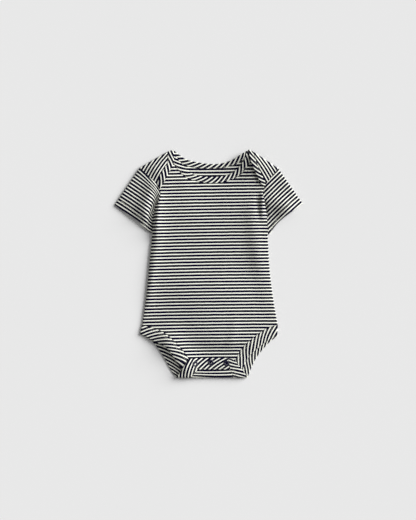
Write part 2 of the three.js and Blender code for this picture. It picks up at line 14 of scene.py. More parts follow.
import bpy
import numpy as np
from numpy.linalg import norm
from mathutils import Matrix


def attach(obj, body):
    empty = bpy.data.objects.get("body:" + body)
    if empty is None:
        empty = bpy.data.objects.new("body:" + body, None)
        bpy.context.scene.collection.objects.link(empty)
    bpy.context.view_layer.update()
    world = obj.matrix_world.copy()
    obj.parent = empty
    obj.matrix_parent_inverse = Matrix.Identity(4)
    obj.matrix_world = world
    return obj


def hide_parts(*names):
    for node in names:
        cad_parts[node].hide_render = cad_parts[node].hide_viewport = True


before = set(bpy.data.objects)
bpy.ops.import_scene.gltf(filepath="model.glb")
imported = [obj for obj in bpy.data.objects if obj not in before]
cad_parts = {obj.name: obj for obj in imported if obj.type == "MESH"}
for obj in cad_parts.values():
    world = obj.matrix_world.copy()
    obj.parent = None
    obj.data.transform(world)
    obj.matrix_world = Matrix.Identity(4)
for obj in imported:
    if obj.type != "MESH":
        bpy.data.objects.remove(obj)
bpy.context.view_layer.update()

log = logging.getLogger("bodysuit")

MM = 0.001
JERSEY = 1.2
BINDING = 1.5
SEAM = 0.3
ROUND_SHARES = np.array([0.0, 0.04, 0.16, 0.36, 0.64])
THINNEST = 0.12
CLOTH_MAP = "cloth"
WELD = 1e3
TINY = 1e-12

BACK_LEVEL = JERSEY / 2
FULLNESS = 0.12
BACK_BAND_LEVEL = BINDING / 2 + FULLNESS
FRONT_LEVEL = 2.5
FRONT_BAND_LEVEL = 2.65
LOWEST_FRONT = 2.2
SIDE_SEAM_LEVEL = 2.25
LAP_LEVEL = 4.2
LAP_BAND_LEVEL = 4.6
FLAP_LEVEL = 5.75
SLEEVE_LEVEL = 3.8
SHOULDER_MIDDLE = (LAP_LEVEL + BACK_LEVEL) / 2
CROTCH_MIDDLE = (FLAP_LEVEL + BACK_LEVEL) / 2

CROTCH_FOLD_Y = -193.5
FLAP_SEAM_Y = -179.8
FLAP_END_Y = -160.2
FRONT_SEAM_Y = -163.0
FRONT_END_Y = -180.5
CURL_FADE = 7.0
SIDE_ROLL = 8.0
SLEEVE_ROLL = 5.0
LAP_COVER = (110.0, 128.0)
LAP_BESIDE = (38.0, 62.0)
LAP_RISE = 2.2
LAP_FROM_FOLD = (1.0, 14.0)
LAP_FROM_ARMHOLE = (0.0, 17.0)
FLAP_COVER = (-152.0, -130.0)
FLAP_BESIDE = (54.0, 72.0)
FLAP_MIDDLE = 5.0
HEM_LEVEL = 1.85
HEM_SLOPE = (-8.0, 24.0)

LEG_STEPS = 40
SIDE_STEPS = 36
ARMHOLE_STEPS = 26
TOP_STEPS = 16
FLAP_STEPS = 10
SHOULDER_STEPS = 18
NECK_STEPS = 64
SLEEVE_STEPS = 34
SLEEVE_END_SHARES = np.array([0.0, 0.002, 0.006, 0.012])
SLEEVE_INNER_SHARES = (0.02, 0.98)
BAND_COLUMNS = 8
END_BAND_STEPS = 90
END_BAND_COLUMNS = 30
ROW_TRIM = 6
PUCKER_RATES = (0.86, 0.11, 0.031)
PUCKER_SWING = 2.0
PUCKER_SHIFT = 1.0
PUCKER_GROWTH = 6.0
STUD_RADII = np.array([0.0, 0.7, 0.96, 1.0, 0.99, 0.94, 0.62, 0.56, 0.5, 0.3, 0.12, 0.0])
STUD_HEIGHTS = np.array([0.0, 0.0, 0.03, 0.15, 0.28, 0.34, 0.38, 0.55, 0.92, 1.0, 0.93, 0.9])

MIX_INPUTS = (0, 6, 7)
MIX_RESULT = 2

Place = tuple[float, float]
Places = tuple[Place, ...]
Span = tuple[float, float]
Colour = tuple[float, float, float, float]
Level = Callable[[np.ndarray], np.ndarray]


@dataclass(frozen=True)
class Edge:
    """How a line ends: how far the middle of the wall stays inside it, and how wide its round is."""

    inset: float
    bend: float


PLAIN = Edge(0.0, 0.0)
CUT = Edge(SEAM / 2, 0.6)
BELOW_SHOULDER = Edge(2.4, 0.6)
SHOULDER_FOLD = Edge(JERSEY / 2, (LAP_LEVEL - BACK_LEVEL) / 2)
CROTCH_FOLD = Edge(JERSEY / 2, (FLAP_LEVEL - BACK_LEVEL) / 2)
SIDE_FOLD = Edge(JERSEY / 2, 1.5)
UNDERARM_FOLD = Edge(JERSEY / 2, 1.4)


class Side(Enum):
    """A side of the garment as seen from above, with the sign of the way from it to the middle."""

    LEFT = 1
    RIGHT = -1


@dataclass(frozen=True)
class Cut:
    """A piece as it was cut: its flat width, length and area, in metres."""

    width: float
    length: float
    area: float


@dataclass(frozen=True)
class SidePlan:
    """Seam and edge lines of one side, each from its crotch or underarm end."""

    front_end: Places
    front_leg: Places
    front_end_free: Places
    front_leg_free: Places
    back_leg: Places
    back_leg_free: Places
    flap_side: Places
    flap_corner: Places
    flap_side_free: Places
    flap_corner_free: Places
    side: Places
    armhole: Places
    armhole_top: Places
    hem: Places
    lap: Places
    lap_free: Places


LEFT_TIP = (-69.8, 190.8)
LEFT_TIP_FREE = (-59.8, 193.5)
RIGHT_TIP = (74.5, 190.6)
RIGHT_TIP_FREE = (68.3, 193.5)

LEFT_PLAN = SidePlan(
    front_end=((-26.6, FRONT_END_Y), (-33, FRONT_SEAM_Y)),
    front_leg=((-33, FRONT_SEAM_Y), (-46, -144.8), (-68.1, -122.7), (-83.6, -113.1), (-98.5, -107.6),
               (-113.6, -105)),
    front_end_free=((-45.3, FRONT_END_Y), (-54.7, -166.2)),
    front_leg_free=((-54.7, -166.2), (-66, -148.7), (-75.6, -139.3), (-95.6, -130), (-108.4, -122.5),
                    (-116.7, -119.8)),
    back_leg=((-31.2, CROTCH_FOLD_Y), (-51.3, -162.8), (-72.2, -133), (-88.5, -115), (-113.6, -105)),
    back_leg_free=((-55, CROTCH_FOLD_Y), (-62.3, -184), (-77.6, -156.8), (-95, -133.5), (-116.7, -119.8)),
    flap_side=((-31.2, CROTCH_FOLD_Y), (-18.5, FLAP_SEAM_Y)),
    flap_corner=((-18.5, FLAP_SEAM_Y), (-24.2, FLAP_END_Y)),
    flap_side_free=((-55, CROTCH_FOLD_Y), (-45, -179)),
    flap_corner_free=((-45, -179), (-33.4, -161.4)),
    side=((-113.6, -105), (-106.6, -54.8), (-102.6, -14), (-98.7, 26.8), (-96.4, 52.3)),
    armhole=((-96.4, 52.3), (-94.6, 74.4), (-90.4, 96.5), (-83.4, 110), (-82.7, 123.7), (-87.6, 135.2)),
    armhole_top=((-87.6, 135.2), (-117.6, 163.1)),
    hem=((-101.2, 54.2), (-108.2, 60.8), (-121.8, 74.4), (-133.7, 81.2), (-160.2, 100.2)),
    lap=((-87.6, 135.2), (-81, 153.8), (-71.3, 169.7), (-69.6, 179.8), LEFT_TIP),
    lap_free=((-83.2, 126), (-74.4, 141), (-60.8, 168.5), (-59.2, 180), LEFT_TIP_FREE),
)
RIGHT_PLAN = SidePlan(
    front_end=((39.7, FRONT_END_Y), (46, FRONT_SEAM_Y)),
    front_leg=((46, FRONT_SEAM_Y), (54.8, -145.5), (65.7, -133.9), (91.2, -114), (104, -108),
               (117.6, -103.5)),
    front_end_free=((57.2, FRONT_END_Y), (63.5, -166)),
    front_leg_free=((63.5, -166), (70.3, -155.5), (91.2, -137.3), (104, -129), (116.4, -123.5)),
    back_leg=((41.9, CROTCH_FOLD_Y), (52.4, -179.8), (66, -153.4), (84.7, -127.1), (99, -113),
              (117.6, -103.5)),
    back_leg_free=((66.2, CROTCH_FOLD_Y), (75.7, -170.3), (84.4, -155.5), (101.9, -135.2),
                   (116.4, -123.5)),
    flap_side=((41.9, CROTCH_FOLD_Y), (36.5, FLAP_SEAM_Y)),
    flap_corner=((36.5, FLAP_SEAM_Y), (32.5, FLAP_END_Y)),
    flap_side_free=((66.2, CROTCH_FOLD_Y), (55.5, -177.5)),
    flap_corner_free=((55.5, -177.5), (43, -162.8)),
    side=((117.6, -103.5), (109.4, -54.8), (104.3, -14), (101.7, 26.8), (100.9, 49.5)),
    armhole=((100.9, 49.5), (98.9, 81.2), (96, 103.5), (92.2, 117), (93.6, 127.8), (97.8, 136.4)),
    armhole_top=((97.8, 136.4), (118.7, 162.3)),
    hem=((105, 52.5), (116.2, 67.6), (131.5, 81.2), (160.2, 102.5)),
    lap=((97.8, 136.4), (88.8, 153.8), (81.7, 168.7), RIGHT_TIP),
    lap_free=((94.6, 131.2), (87, 139.5), (71.3, 173.3), RIGHT_TIP_FREE),
)
FRONT_NECK = ((-69.8, 187.9), (-64.6, 177), (-47.5, 154.1), (-30.9, 142.9), (9, 136.5), (45.3, 145.9),
              (66.7, 166.3), (74.2, 188))
FRONT_NECK_FREE = ((-60, 190.2), (-48.2, 172.5), (-26.1, 152.4), (6.7, 147.5), (35.4, 152.4),
                   (55, 168.7), (65.2, 190.4))
BACK_NECK = (LEFT_TIP, (-60.1, 179.8), (-37.3, 166.2), (0, 161.5), (34.9, 165.5), (62, 178), RIGHT_TIP)
BACK_NECK_FREE = (LEFT_TIP_FREE, (-49.4, 185), (-32.6, 175.7), (6.7, 169.7), (34.9, 174.5), (57, 187.2),
                  RIGHT_TIP_FREE)
SNAPS = ((-22.5, -169.6), (3.8, -167.2), (30.2, -168.6))


def turned_to(plan: np.ndarray, x: float, y: float, angle: float) -> tuple[np.ndarray, np.ndarray]:
    """Distances from a place along a direction, and across it to its left.

    Args:
        plan: Points as (..., 2) or (..., 3), of which x and y are read.
        x: The place's x.
        y: The place's y.
        angle: The direction in degrees from +X.

    Returns:
        The distances along and across.
    """
    turn = np.radians(angle)
    dx, dy = plan[..., 0] - x, plan[..., 1] - y
    return dx * np.cos(turn) + dy * np.sin(turn), dy * np.cos(turn) - dx * np.sin(turn)


@dataclass(frozen=True)
class Crease:
    """A soft ridge, or a trough where its height is below zero.

    The width holds to the left of its direction, and the lee to the right, where it isn't the
    same. The direction is the angle from +X.
    """

    x: float
    y: float
    length: float
    width: float
    angle: float
    height: float
    lee: float | None = None

    def rise(self, plan: np.ndarray) -> np.ndarray:
        """Height of the crease: a bell across it, and a flatter bell along it.

        Args:
            plan: Points as (..., 2) or (..., 3), of which x and y are read.

        Returns:
            The height at each point.
        """
        along, across = turned_to(plan, self.x, self.y, self.angle)
        width = np.where(across > 0.0, self.width, self.lee or self.width)
        return self.height * np.exp(-((across / width) ** 2) - (along / self.length) ** 4)


FRONT_CREASES = (
    Crease(x=-93, y=-2, length=72, width=8, angle=81, height=2.2),
    Crease(x=-94, y=20, length=85, width=22, angle=82, height=2.0),
    Crease(x=-87.5, y=86, length=38, width=5.0, angle=85, height=3.6),
    Crease(x=-86, y=84, length=40, width=12, angle=85, height=3.2),
    Crease(x=-94, y=78, length=36, width=4.5, angle=82, height=-7.0),
    Crease(x=79, y=48, length=62, width=14, angle=97, height=3.4),
    Crease(x=91, y=-25, length=52, width=12, angle=100, height=1.1),
    Crease(x=91.5, y=108, length=30, width=4.5, angle=91, height=4.8),
    Crease(x=84.5, y=108, length=28, width=4.5, angle=90, height=-1.8),
    Crease(x=8, y=-86, length=64, width=66, angle=84, height=6.5),
    Crease(x=-82, y=-137, length=34, width=16, angle=-40, height=2.0),
    Crease(x=40, y=-128, length=34, width=9, angle=80, height=1.6),
    Crease(x=-38, y=112, length=42, width=34, angle=92, height=1.7),
    Crease(x=-60, y=-52, length=38, width=9, angle=38, height=-0.5),
    Crease(x=30, y=10, length=55, width=14, angle=70, height=0.4),
)
SWELLS = (
    Crease(x=-92, y=117, length=54, width=32, angle=65, height=5.0, lee=50),
    Crease(x=67, y=182, length=34, width=26, angle=125, height=8.5, lee=44),
    Crease(x=-54, y=-153, length=42, width=15, angle=126, height=8.5, lee=24),
    Crease(x=134, y=79, length=26, width=15, angle=76, height=5.5),
)
LEFT_SLEEVE_CREASES = (
    Crease(x=-105, y=98, length=46, width=15, angle=65, height=5.4),
    Crease(x=-95, y=87, length=34, width=6, angle=81, height=-12.0),
    Crease(x=-138, y=104, length=20, width=7, angle=52, height=0.5),
)
RIGHT_SLEEVE_CREASES = (
    Crease(x=126, y=97, length=36, width=17, angle=-25, height=5.5),
    Crease(x=104, y=74, length=24, width=9, angle=60, height=-1.4),
)
RIPPLES = ((0.071, 0.043, 0.4, 0.16), (-0.049, 0.092, 2.1, 0.12), (0.128, -0.067, 4.4, 0.07))


def relief(creases: tuple[Crease, ...], plan: np.ndarray) -> np.ndarray:
    """Height of creases added up, with a few long, low waves that cross each other.

    Args:
        creases: The ridges and troughs.
        plan: Points as (..., 2) or more.

    Returns:
        The height at each point.
    """
    height = sum(crease.rise(plan) for crease in creases)
    for kx, ky, start, size in RIPPLES:
        height = height + size * np.sin(kx * plan[..., 0] + ky * plan[..., 1] + start)
    return height


def smooth_step(value: np.ndarray, low: float, high: float) -> np.ndarray:
    """0 below low and 1 above high, with the cubic 3t^2 - 2t^3 between them."""
    t = np.clip((value - low) / (high - low), 0.0, 1.0)
    return t * t * (3.0 - 2.0 * t)


def quarter_round(distance: np.ndarray, bend: float) -> np.ndarray:
    """Height of a quarter circle: 0 at the edge, and 1 from one bend inside it."""
    left = 1.0 - np.clip(distance / bend, 0.0, 1.0)
    return np.sqrt(1.0 - left * left)


def unit(vectors: np.ndarray) -> np.ndarray:
    """The vectors at length 1, where they have a length."""
    return vectors / np.maximum(norm(vectors, axis=-1, keepdims=True), TINY)


def between(first: np.ndarray, second: np.ndarray | float, share: np.ndarray) -> np.ndarray:
    """What lies at a share of the way from the first to the second."""
    return first * (1.0 - share) + second * share


def circle(steps: int) -> np.ndarray:
    """Even angles round a full turn, from 0."""
    return np.linspace(0.0, 2.0 * np.pi, steps, endpoint=False)


def read_along(line: np.ndarray, knots: np.ndarray, places: np.ndarray) -> np.ndarray:
    """Points of a line at these places among its knots, on straight steps between its own points."""
    return np.stack([np.interp(places, knots, column) for column in line.T], -1)


def lengths_along(points: np.ndarray) -> np.ndarray:
    """Distance of each point from the first one, along the line."""
    steps = norm(np.diff(points, axis=0), axis=-1)
    return np.concatenate([[0.0], np.cumsum(steps)])


class Line:
    """A smooth plan line through a few places, measured along its length."""

    def __init__(self, places: Places, fineness: int = 200) -> None:
        """Each span is the cubic whose slope at a place is half the step between its neighbours.

        Args:
            places: The places that the line goes through.
            fineness: Points worked out in each span.
        """
        given = np.array(places, float)
        ends = np.vstack([given[:1], given, given[-1:]])
        t = np.linspace(0.0, 1.0, fineness, endpoint=False)[None, :, None]
        before, start, end, after = (ends[k:len(ends) - 3 + k, None] for k in range(4))
        slope_start, slope_end = (end - before) / 2, (after - start) / 2
        spans = (
            (2 * start - 2 * end + slope_start + slope_end) * t**3
            + (3 * end - 3 * start - 2 * slope_start - slope_end) * t**2
            + slope_start * t
            + start
        )
        self.points = np.vstack([spans.reshape(-1, 2), given[-1:]])
        self.lengths = lengths_along(self.points)

    def at(self, distances: np.ndarray) -> np.ndarray:
        """Points at these distances from the line's start."""
        return read_along(self.points, self.lengths, distances)

    def sampled(self, steps: int, start: Edge = PLAIN, end: Edge = PLAIN) -> np.ndarray:
        """Points in even steps, with closer ones round the bend at each end.

        Args:
            steps: Even steps between the bends.
            start: How the line starts.
            end: How the line ends.

        Returns:
            The points as (n, 2).
        """
        low, high = start.inset, self.lengths[-1] - end.inset
        parts = [np.linspace(low + start.bend, high - end.bend, steps + 1)]
        if start.bend > 0:
            parts.insert(0, low + ROUND_SHARES * start.bend)
        if end.bend > 0:
            parts.append(high - ROUND_SHARES[::-1] * end.bend)
        return self.at(np.concatenate(parts))


def moved(points: np.ndarray, distance: float) -> np.ndarray:
    """A line moved sideways, to the right of its direction where the distance is above zero."""
    padded = np.vstack([points[:1], points, points[-1:]])
    way = unit(padded[2:] - padded[:-2])
    return points + distance * np.stack([way[:, 1], -way[:, 0]], -1)


def joined(first: np.ndarray, *rest: np.ndarray) -> np.ndarray:
    """Lines or grids end to end, each but the first without its first point or row."""
    return np.concatenate([first, *(part[1:] for part in rest)])


def evenly(start: np.ndarray, end: np.ndarray, steps: int) -> np.ndarray:
    """Points in even steps on a straight line."""
    share = np.linspace(0.0, 1.0, steps + 1)[:, None]
    return between(start, end, share)


@dataclass(frozen=True)
class PlanStripes:
    """Stripes set out on the plan, straight or with a small bow and fan.

    The phase is 0 where the place is in the middle of a pale stripe. The bow adds to the count
    with the square of the distance along the stripes, and the fan with the product of the
    distances along and across them, both in stripes at 100 mm.
    """

    x: float
    y: float
    angle: float
    pitch: float
    phase: float
    bow: float = 0.0
    fan: float = 0.0
    unit: float = 100.0

    def at(self, plan: np.ndarray) -> np.ndarray:
        """Distance along and across the stripes, counted in stripes.

        Args:
            plan: Points as (..., 2) or more.

        Returns:
            The two counts as (..., 2).
        """
        along, across = turned_to(plan, self.x, self.y, self.angle)
        far, wide = along / self.unit, across / self.unit
        bend = self.bow * far**2 + self.fan * far * wide
        return np.stack([along / self.pitch, across / self.pitch + self.phase + bend], -1)


@dataclass(frozen=True)
class BiasStripes:
    """Stripes that cross a strip at a slant, which follows the strip round its curves.

    The slant, pitch and phase hold at one place of the strip. From there the count gains the
    drift times the square of the distance along the strip, the sway times its cube, and the
    twist times the product of both distances, where the strip was stretched unevenly. They
    are counted in stripes at 50 mm along and 10 mm across.
    """

    along: float
    across: float
    slant: float
    pitch: float
    phase: float
    drift: float = 0.0
    twist: float = 0.0
    sway: float = 0.0
    unit_along: float = 50.0
    unit_across: float = 10.0

    def at(self, along: np.ndarray, across: np.ndarray) -> np.ndarray:
        """Counts of stripes from the distances along the strip's seam and across the strip.

        Args:
            along: Distance along the seam line.
            across: Distance from the seam line.

        Returns:
            The counts along and across the stripes as (..., 2).
        """
        turn = np.radians(self.slant)
        du, dw = along - self.along, across - self.across
        v = (du * np.sin(turn) + dw * np.cos(turn)) / self.pitch + self.phase
        u = (du * np.cos(turn) - dw * np.sin(turn)) / self.pitch
        far, wide = du / self.unit_along, dw / self.unit_across
        bend = self.drift * far**2 + self.sway * far**3 + self.twist * far * wide
        return np.stack([u, v + bend], -1)


@dataclass
class Patch:
    """A grid of a cloth's middle surface, with its stripe counts and half of its wall."""

    points: np.ndarray
    stripes: np.ndarray
    half: np.ndarray

    def outer(self) -> tuple[np.ndarray, np.ndarray]:
        """The upper face: its points and its normals, which are the cross product of the grid's ways."""
        normal = unit(np.cross(np.gradient(self.points, axis=1), np.gradient(self.points, axis=0)))
        normal *= np.where(normal[..., 2:] < 0, -1.0, 1.0)
        return self.points + normal * self.half[..., None], normal


def rounded_edges(points: np.ndarray, left: bool = True, right: bool = True,
                  bottom: bool | np.ndarray = True, top: bool | np.ndarray = True,
                  bend: float = JERSEY / 2) -> np.ndarray:
    """Share of the full wall at each point, which rounds off towards the free edges.

    It is the quarter round of the distance to the nearest free edge along the grid's lines.

    Args:
        points: The grid as (rows, columns, 3).
        left: Whether the first column is a free edge.
        right: Whether the last column is a free edge.
        bottom: Whether the first row is a free edge, for all or for each column.
        top: Whether the last row is a free edge, for all or for each column.
        bend: Width of the round.

    Returns:
        The share as (rows, columns).
    """
    far = 1e3
    across = np.pad(norm(np.diff(points, axis=1), axis=-1), ((0, 0), (1, 0))).cumsum(1)
    along = np.pad(norm(np.diff(points, axis=0), axis=-1), ((1, 0), (0, 0))).cumsum(0)
    nearest = np.minimum.reduce([
        across if left else np.full_like(across, far),
        across[:, -1:] - across if right else np.full_like(across, far),
        np.where(bottom, along, far),
        np.where(top, along[-1:] - along, far),
    ])
    return np.maximum(quarter_round(nearest, bend), THINNEST)


def quads(*corners: np.ndarray) -> np.ndarray:
    """Two triangles for each four-sided face, from arrays of its first to fourth corners."""
    a, b, c, d = corners
    return np.concatenate([np.stack(three, -1).reshape(-1, 3) for three in ((a, b, c), (a, c, d))])


def welded(points: np.ndarray, triangles: np.ndarray) -> tuple[np.ndarray, np.ndarray]:
    """Merges points that share a place, and drops triangles that close up by it.

    Args:
        points: Points in millimetres as (n, 3).
        triangles: Point numbers as (m, 3).

    Returns:
        Which points are kept, and the triangles between them.
    """
    keys = np.round(points * WELD).astype(np.int64)
    _, kept, same = np.unique(keys, axis=0, return_index=True, return_inverse=True)
    triangles = same.reshape(-1)[triangles]
    return kept, triangles[(triangles != np.roll(triangles, 1, axis=1)).all(axis=1)]


def write_mesh(name: str, points: np.ndarray, triangles: np.ndarray,
               counts: np.ndarray | None = None) -> bpy.types.Object:
    """Puts points and triangles into a new object at the origin.

    Args:
        name: The object's name.
        points: Points in millimetres as (n, 3).
        triangles: Point numbers as (m, 3).
        counts: Map coordinates of each point as (n, 2), or none.

    Returns:
        The object, smooth-shaded and linked to the scene.
    """
    mesh = bpy.data.meshes.new(name)
    mesh.vertices.add(len(points))
    mesh.vertices.foreach_set("co", (points * MM).astype(np.float32).ravel())
    mesh.loops.add(triangles.size)
    mesh.loops.foreach_set("vertex_index", triangles.astype(np.int32).ravel())
    mesh.polygons.add(len(triangles))
    mesh.polygons.foreach_set("loop_start", np.arange(0, triangles.size, 3, dtype=np.int32))
    mesh.update(calc_edges=True)
    mesh.polygons.foreach_set("use_smooth", np.ones(len(triangles), bool))
    if counts is not None:
        layer = mesh.uv_layers.new(name=CLOTH_MAP)
        layer.data.foreach_set("uv", counts[triangles.ravel()].astype(np.float32).ravel())
    mesh.validate()
    made = bpy.data.objects.new(name, mesh)
    bpy.context.scene.collection.objects.link(made)
    return made


def shell(name: str, patches: list[Patch]) -> bpy.types.Object:
    """A closed wall about patches of a middle surface, joined where they share points.

    Both faces lie half a wall from the middle, along normals that are the sums of the faces'
    cross products, and the rim joins them round every free edge.

    Args:
        name: The object's name.
        patches: The grids.

    Returns:
        The object.
    """
    points = np.concatenate([patch.points.reshape(-1, 3) for patch in patches])
    counts = np.concatenate([patch.stripes.reshape(-1, 2) for patch in patches])
    half = np.concatenate([patch.half.ravel() for patch in patches])
    corners, first = [], 0
    for patch in patches:
        ids = first + np.arange(patch.half.size).reshape(patch.half.shape)
        corners.append(quads(ids[:-1, :-1], ids[:-1, 1:], ids[1:, 1:], ids[1:, :-1]))
        first += patch.half.size
    kept, faces = welded(points, np.concatenate(corners))
    points, counts, half = points[kept], counts[kept], half[kept]
    sides = points[faces]
    cross = np.cross(sides[:, 1] - sides[:, 0], sides[:, 2] - sides[:, 0])
    normals = np.zeros_like(points)
    for corner in range(3):
        np.add.at(normals, faces[:, corner], cross)
    out = unit(normals) * half[:, None]
    under = len(points)
    edges = np.concatenate([faces[:, [0, 1]], faces[:, [1, 2]], faces[:, [2, 0]]])
    forward, backward = edges[:, 0] * under + edges[:, 1], edges[:, 1] * under + edges[:, 0]
    start, end = edges[~np.isin(forward, backward)].T
    rim = quads(end, start, under + start, under + end)
    triangles = np.concatenate([faces, under + faces[:, [0, 2, 1]], rim])
    return write_mesh(name, np.concatenate([points + out, points - out]), triangles,
                      np.concatenate([counts, counts]))


def distance_from(plan: np.ndarray, start: np.ndarray, end: np.ndarray) -> np.ndarray:
    """Distance of plan points from a straight line, measured square to it.

    Args:
        plan: Points as (..., 2) or more.
        start: A point of the line.
        end: Another point of it.

    Returns:
        The distances.
    """
    way = unit(end - start)
    dx, dy = plan[..., 0] - start[0], plan[..., 1] - start[1]
    return np.abs(way[0] * dy - way[1] * dx)


class SideLines:
    """The lines of one side of the pattern, in the places where panels share them."""

    def __init__(self, side: Side, plan: SidePlan) -> None:
        """Samples the side's lines.

        Args:
            side: Which side it is.
            plan: Its lines.
        """
        self.inward = side.value
        self.plan = plan
        self.half_seam = self.inward * SEAM / 2
        self.armhole = joined(
            Line(plan.armhole).sampled(ARMHOLE_STEPS, UNDERARM_FOLD),
            Line(plan.armhole_top).sampled(TOP_STEPS, PLAIN, SHOULDER_FOLD),
        )
        self.side = Line(plan.side).sampled(SIDE_STEPS)
        self.front_leg = Line(plan.front_leg).sampled(LEG_STEPS, CUT, SIDE_FOLD)
        self.back_leg = Line(plan.back_leg).sampled(LEG_STEPS, CROTCH_FOLD, SIDE_FOLD)
        self.lap, self.lap_free = (Line(places).sampled(TOP_STEPS, PLAIN, SHOULDER_FOLD)
                                   for places in (plan.lap, plan.lap_free))
        self.flap_side = Line(plan.flap_side).sampled(FLAP_STEPS, CROTCH_FOLD, CUT)
        self.moved_side = moved(self.side, self.inward * JERSEY / 2)
        self.moved_armhole = moved(self.armhole, self.half_seam)
        self.shoulder = (np.array(plan.armhole_top[-1], float), np.array(plan.lap[-1], float))

    def inside_side(self, plan: np.ndarray) -> np.ndarray:
        """Distance of points inside the side edge of the middle surface."""
        edge = np.interp(plan[..., 1], self.side[:, 1], self.side[:, 0])
        return (plan[..., 0] - edge) * self.inward - SIDE_FOLD.inset

    def inside_shoulder(self, plan: np.ndarray) -> np.ndarray:
        """Distance of points inside the shoulder edge of the middle surface."""
        return distance_from(plan, *self.shoulder) - SHOULDER_FOLD.inset

    def inside_armhole(self, plan: np.ndarray) -> np.ndarray:
        """Distance of points from the top stretch of the armhole seam."""
        top = np.array(self.plan.armhole_top, float)
        return distance_from(plan, top[0], top[-1])


SIDES = {side: SideLines(side, plan) for side, plan in
         ((Side.LEFT, LEFT_PLAN), (Side.RIGHT, RIGHT_PLAN))}


def inside_crotch(plan: np.ndarray) -> np.ndarray:
    """Distance of points inside the crotch's folded edge of the middle surface."""
    return plan[..., 1] - CROTCH_FOLD_Y - CROTCH_FOLD.inset


def front_level(plan: np.ndarray) -> np.ndarray:
    """Height of the front's middle: its creases, faded out under the laps and the crotch flap."""
    under_lap = smooth_step(plan[..., 1], *LAP_COVER) * smooth_step(np.abs(plan[..., 0]), *LAP_BESIDE)
    beside_flap = smooth_step(np.abs(plan[..., 0] - FLAP_MIDDLE), *FLAP_BESIDE)
    under_flap = (1.0 - smooth_step(plan[..., 1], *FLAP_COVER)) * (1.0 - beside_flap)
    free = (1.0 - under_lap) * (1.0 - under_flap)
    return np.maximum(LOWEST_FRONT, FRONT_LEVEL + free * relief(FRONT_CREASES, plan))


def front_band_level(plan: np.ndarray) -> np.ndarray:
    """Height of the middle of a binding on the front's edge."""
    return front_level(plan) + FRONT_BAND_LEVEL - FRONT_LEVEL


def lap_rise(plan: np.ndarray) -> np.ndarray:
    """How far the laps stand up towards their bound edges, away from the folded shoulders."""
    rise = np.zeros(plan.shape[:-1])
    for lines in SIDES.values():
        on_side = (plan[..., 0] * lines.inward < 0) * 1.0
        from_fold = smooth_step(lines.inside_shoulder(plan), *LAP_FROM_FOLD)
        from_armhole = smooth_step(lines.inside_armhole(plan), *LAP_FROM_ARMHOLE)
        rise = rise + on_side * LAP_RISE * from_fold * from_armhole
    return rise


def lap_band_level(plan: np.ndarray) -> np.ndarray:
    """Height of the middle of a binding on a lap's edge."""
    return LAP_BAND_LEVEL + lap_rise(plan)


def at_level(level: float) -> Level:
    """A level surface's height as a function of plan points."""
    return lambda plan: np.full(plan.shape[:-1], level)


def curled(plan: np.ndarray, level: np.ndarray | float, seam_level: float, bend: float) -> np.ndarray:
    """Height of a body panel, which curls to the side seam from the hip to the underarm.

    Args:
        plan: Points as (..., 2).
        level: Height away from the seam.
        seam_level: Height at the seam.
        bend: Width of the curl.

    Returns:
        The height at each point.
    """
    height = level
    for lines in SIDES.values():
        underarm = lines.side[-1, 1]
        share = 1.0 - smooth_step(plan[..., 1], underarm - CURL_FADE, underarm)
        round_share = quarter_round(lines.inside_side(plan), bend)
        height = height + (seam_level - level) * share * (1.0 - round_share)
    return height


def folded(level: float, middle: float, distance: np.ndarray, bend: float) -> np.ndarray:
    """Height of a layer near a fold, which is at the fold's middle height at its edge."""
    return level + (middle - level) * (1.0 - quarter_round(distance, bend))


def swell(plan: np.ndarray) -> np.ndarray:
    """How far all layers stand up together."""
    return sum(crease.rise(plan) for crease in SWELLS)


def raised(plan: np.ndarray, height: np.ndarray) -> np.ndarray:
    """Plan points with their heights over the swells, as (..., 3)."""
    return np.concatenate([plan, (height + swell(plan))[..., None]], -1)


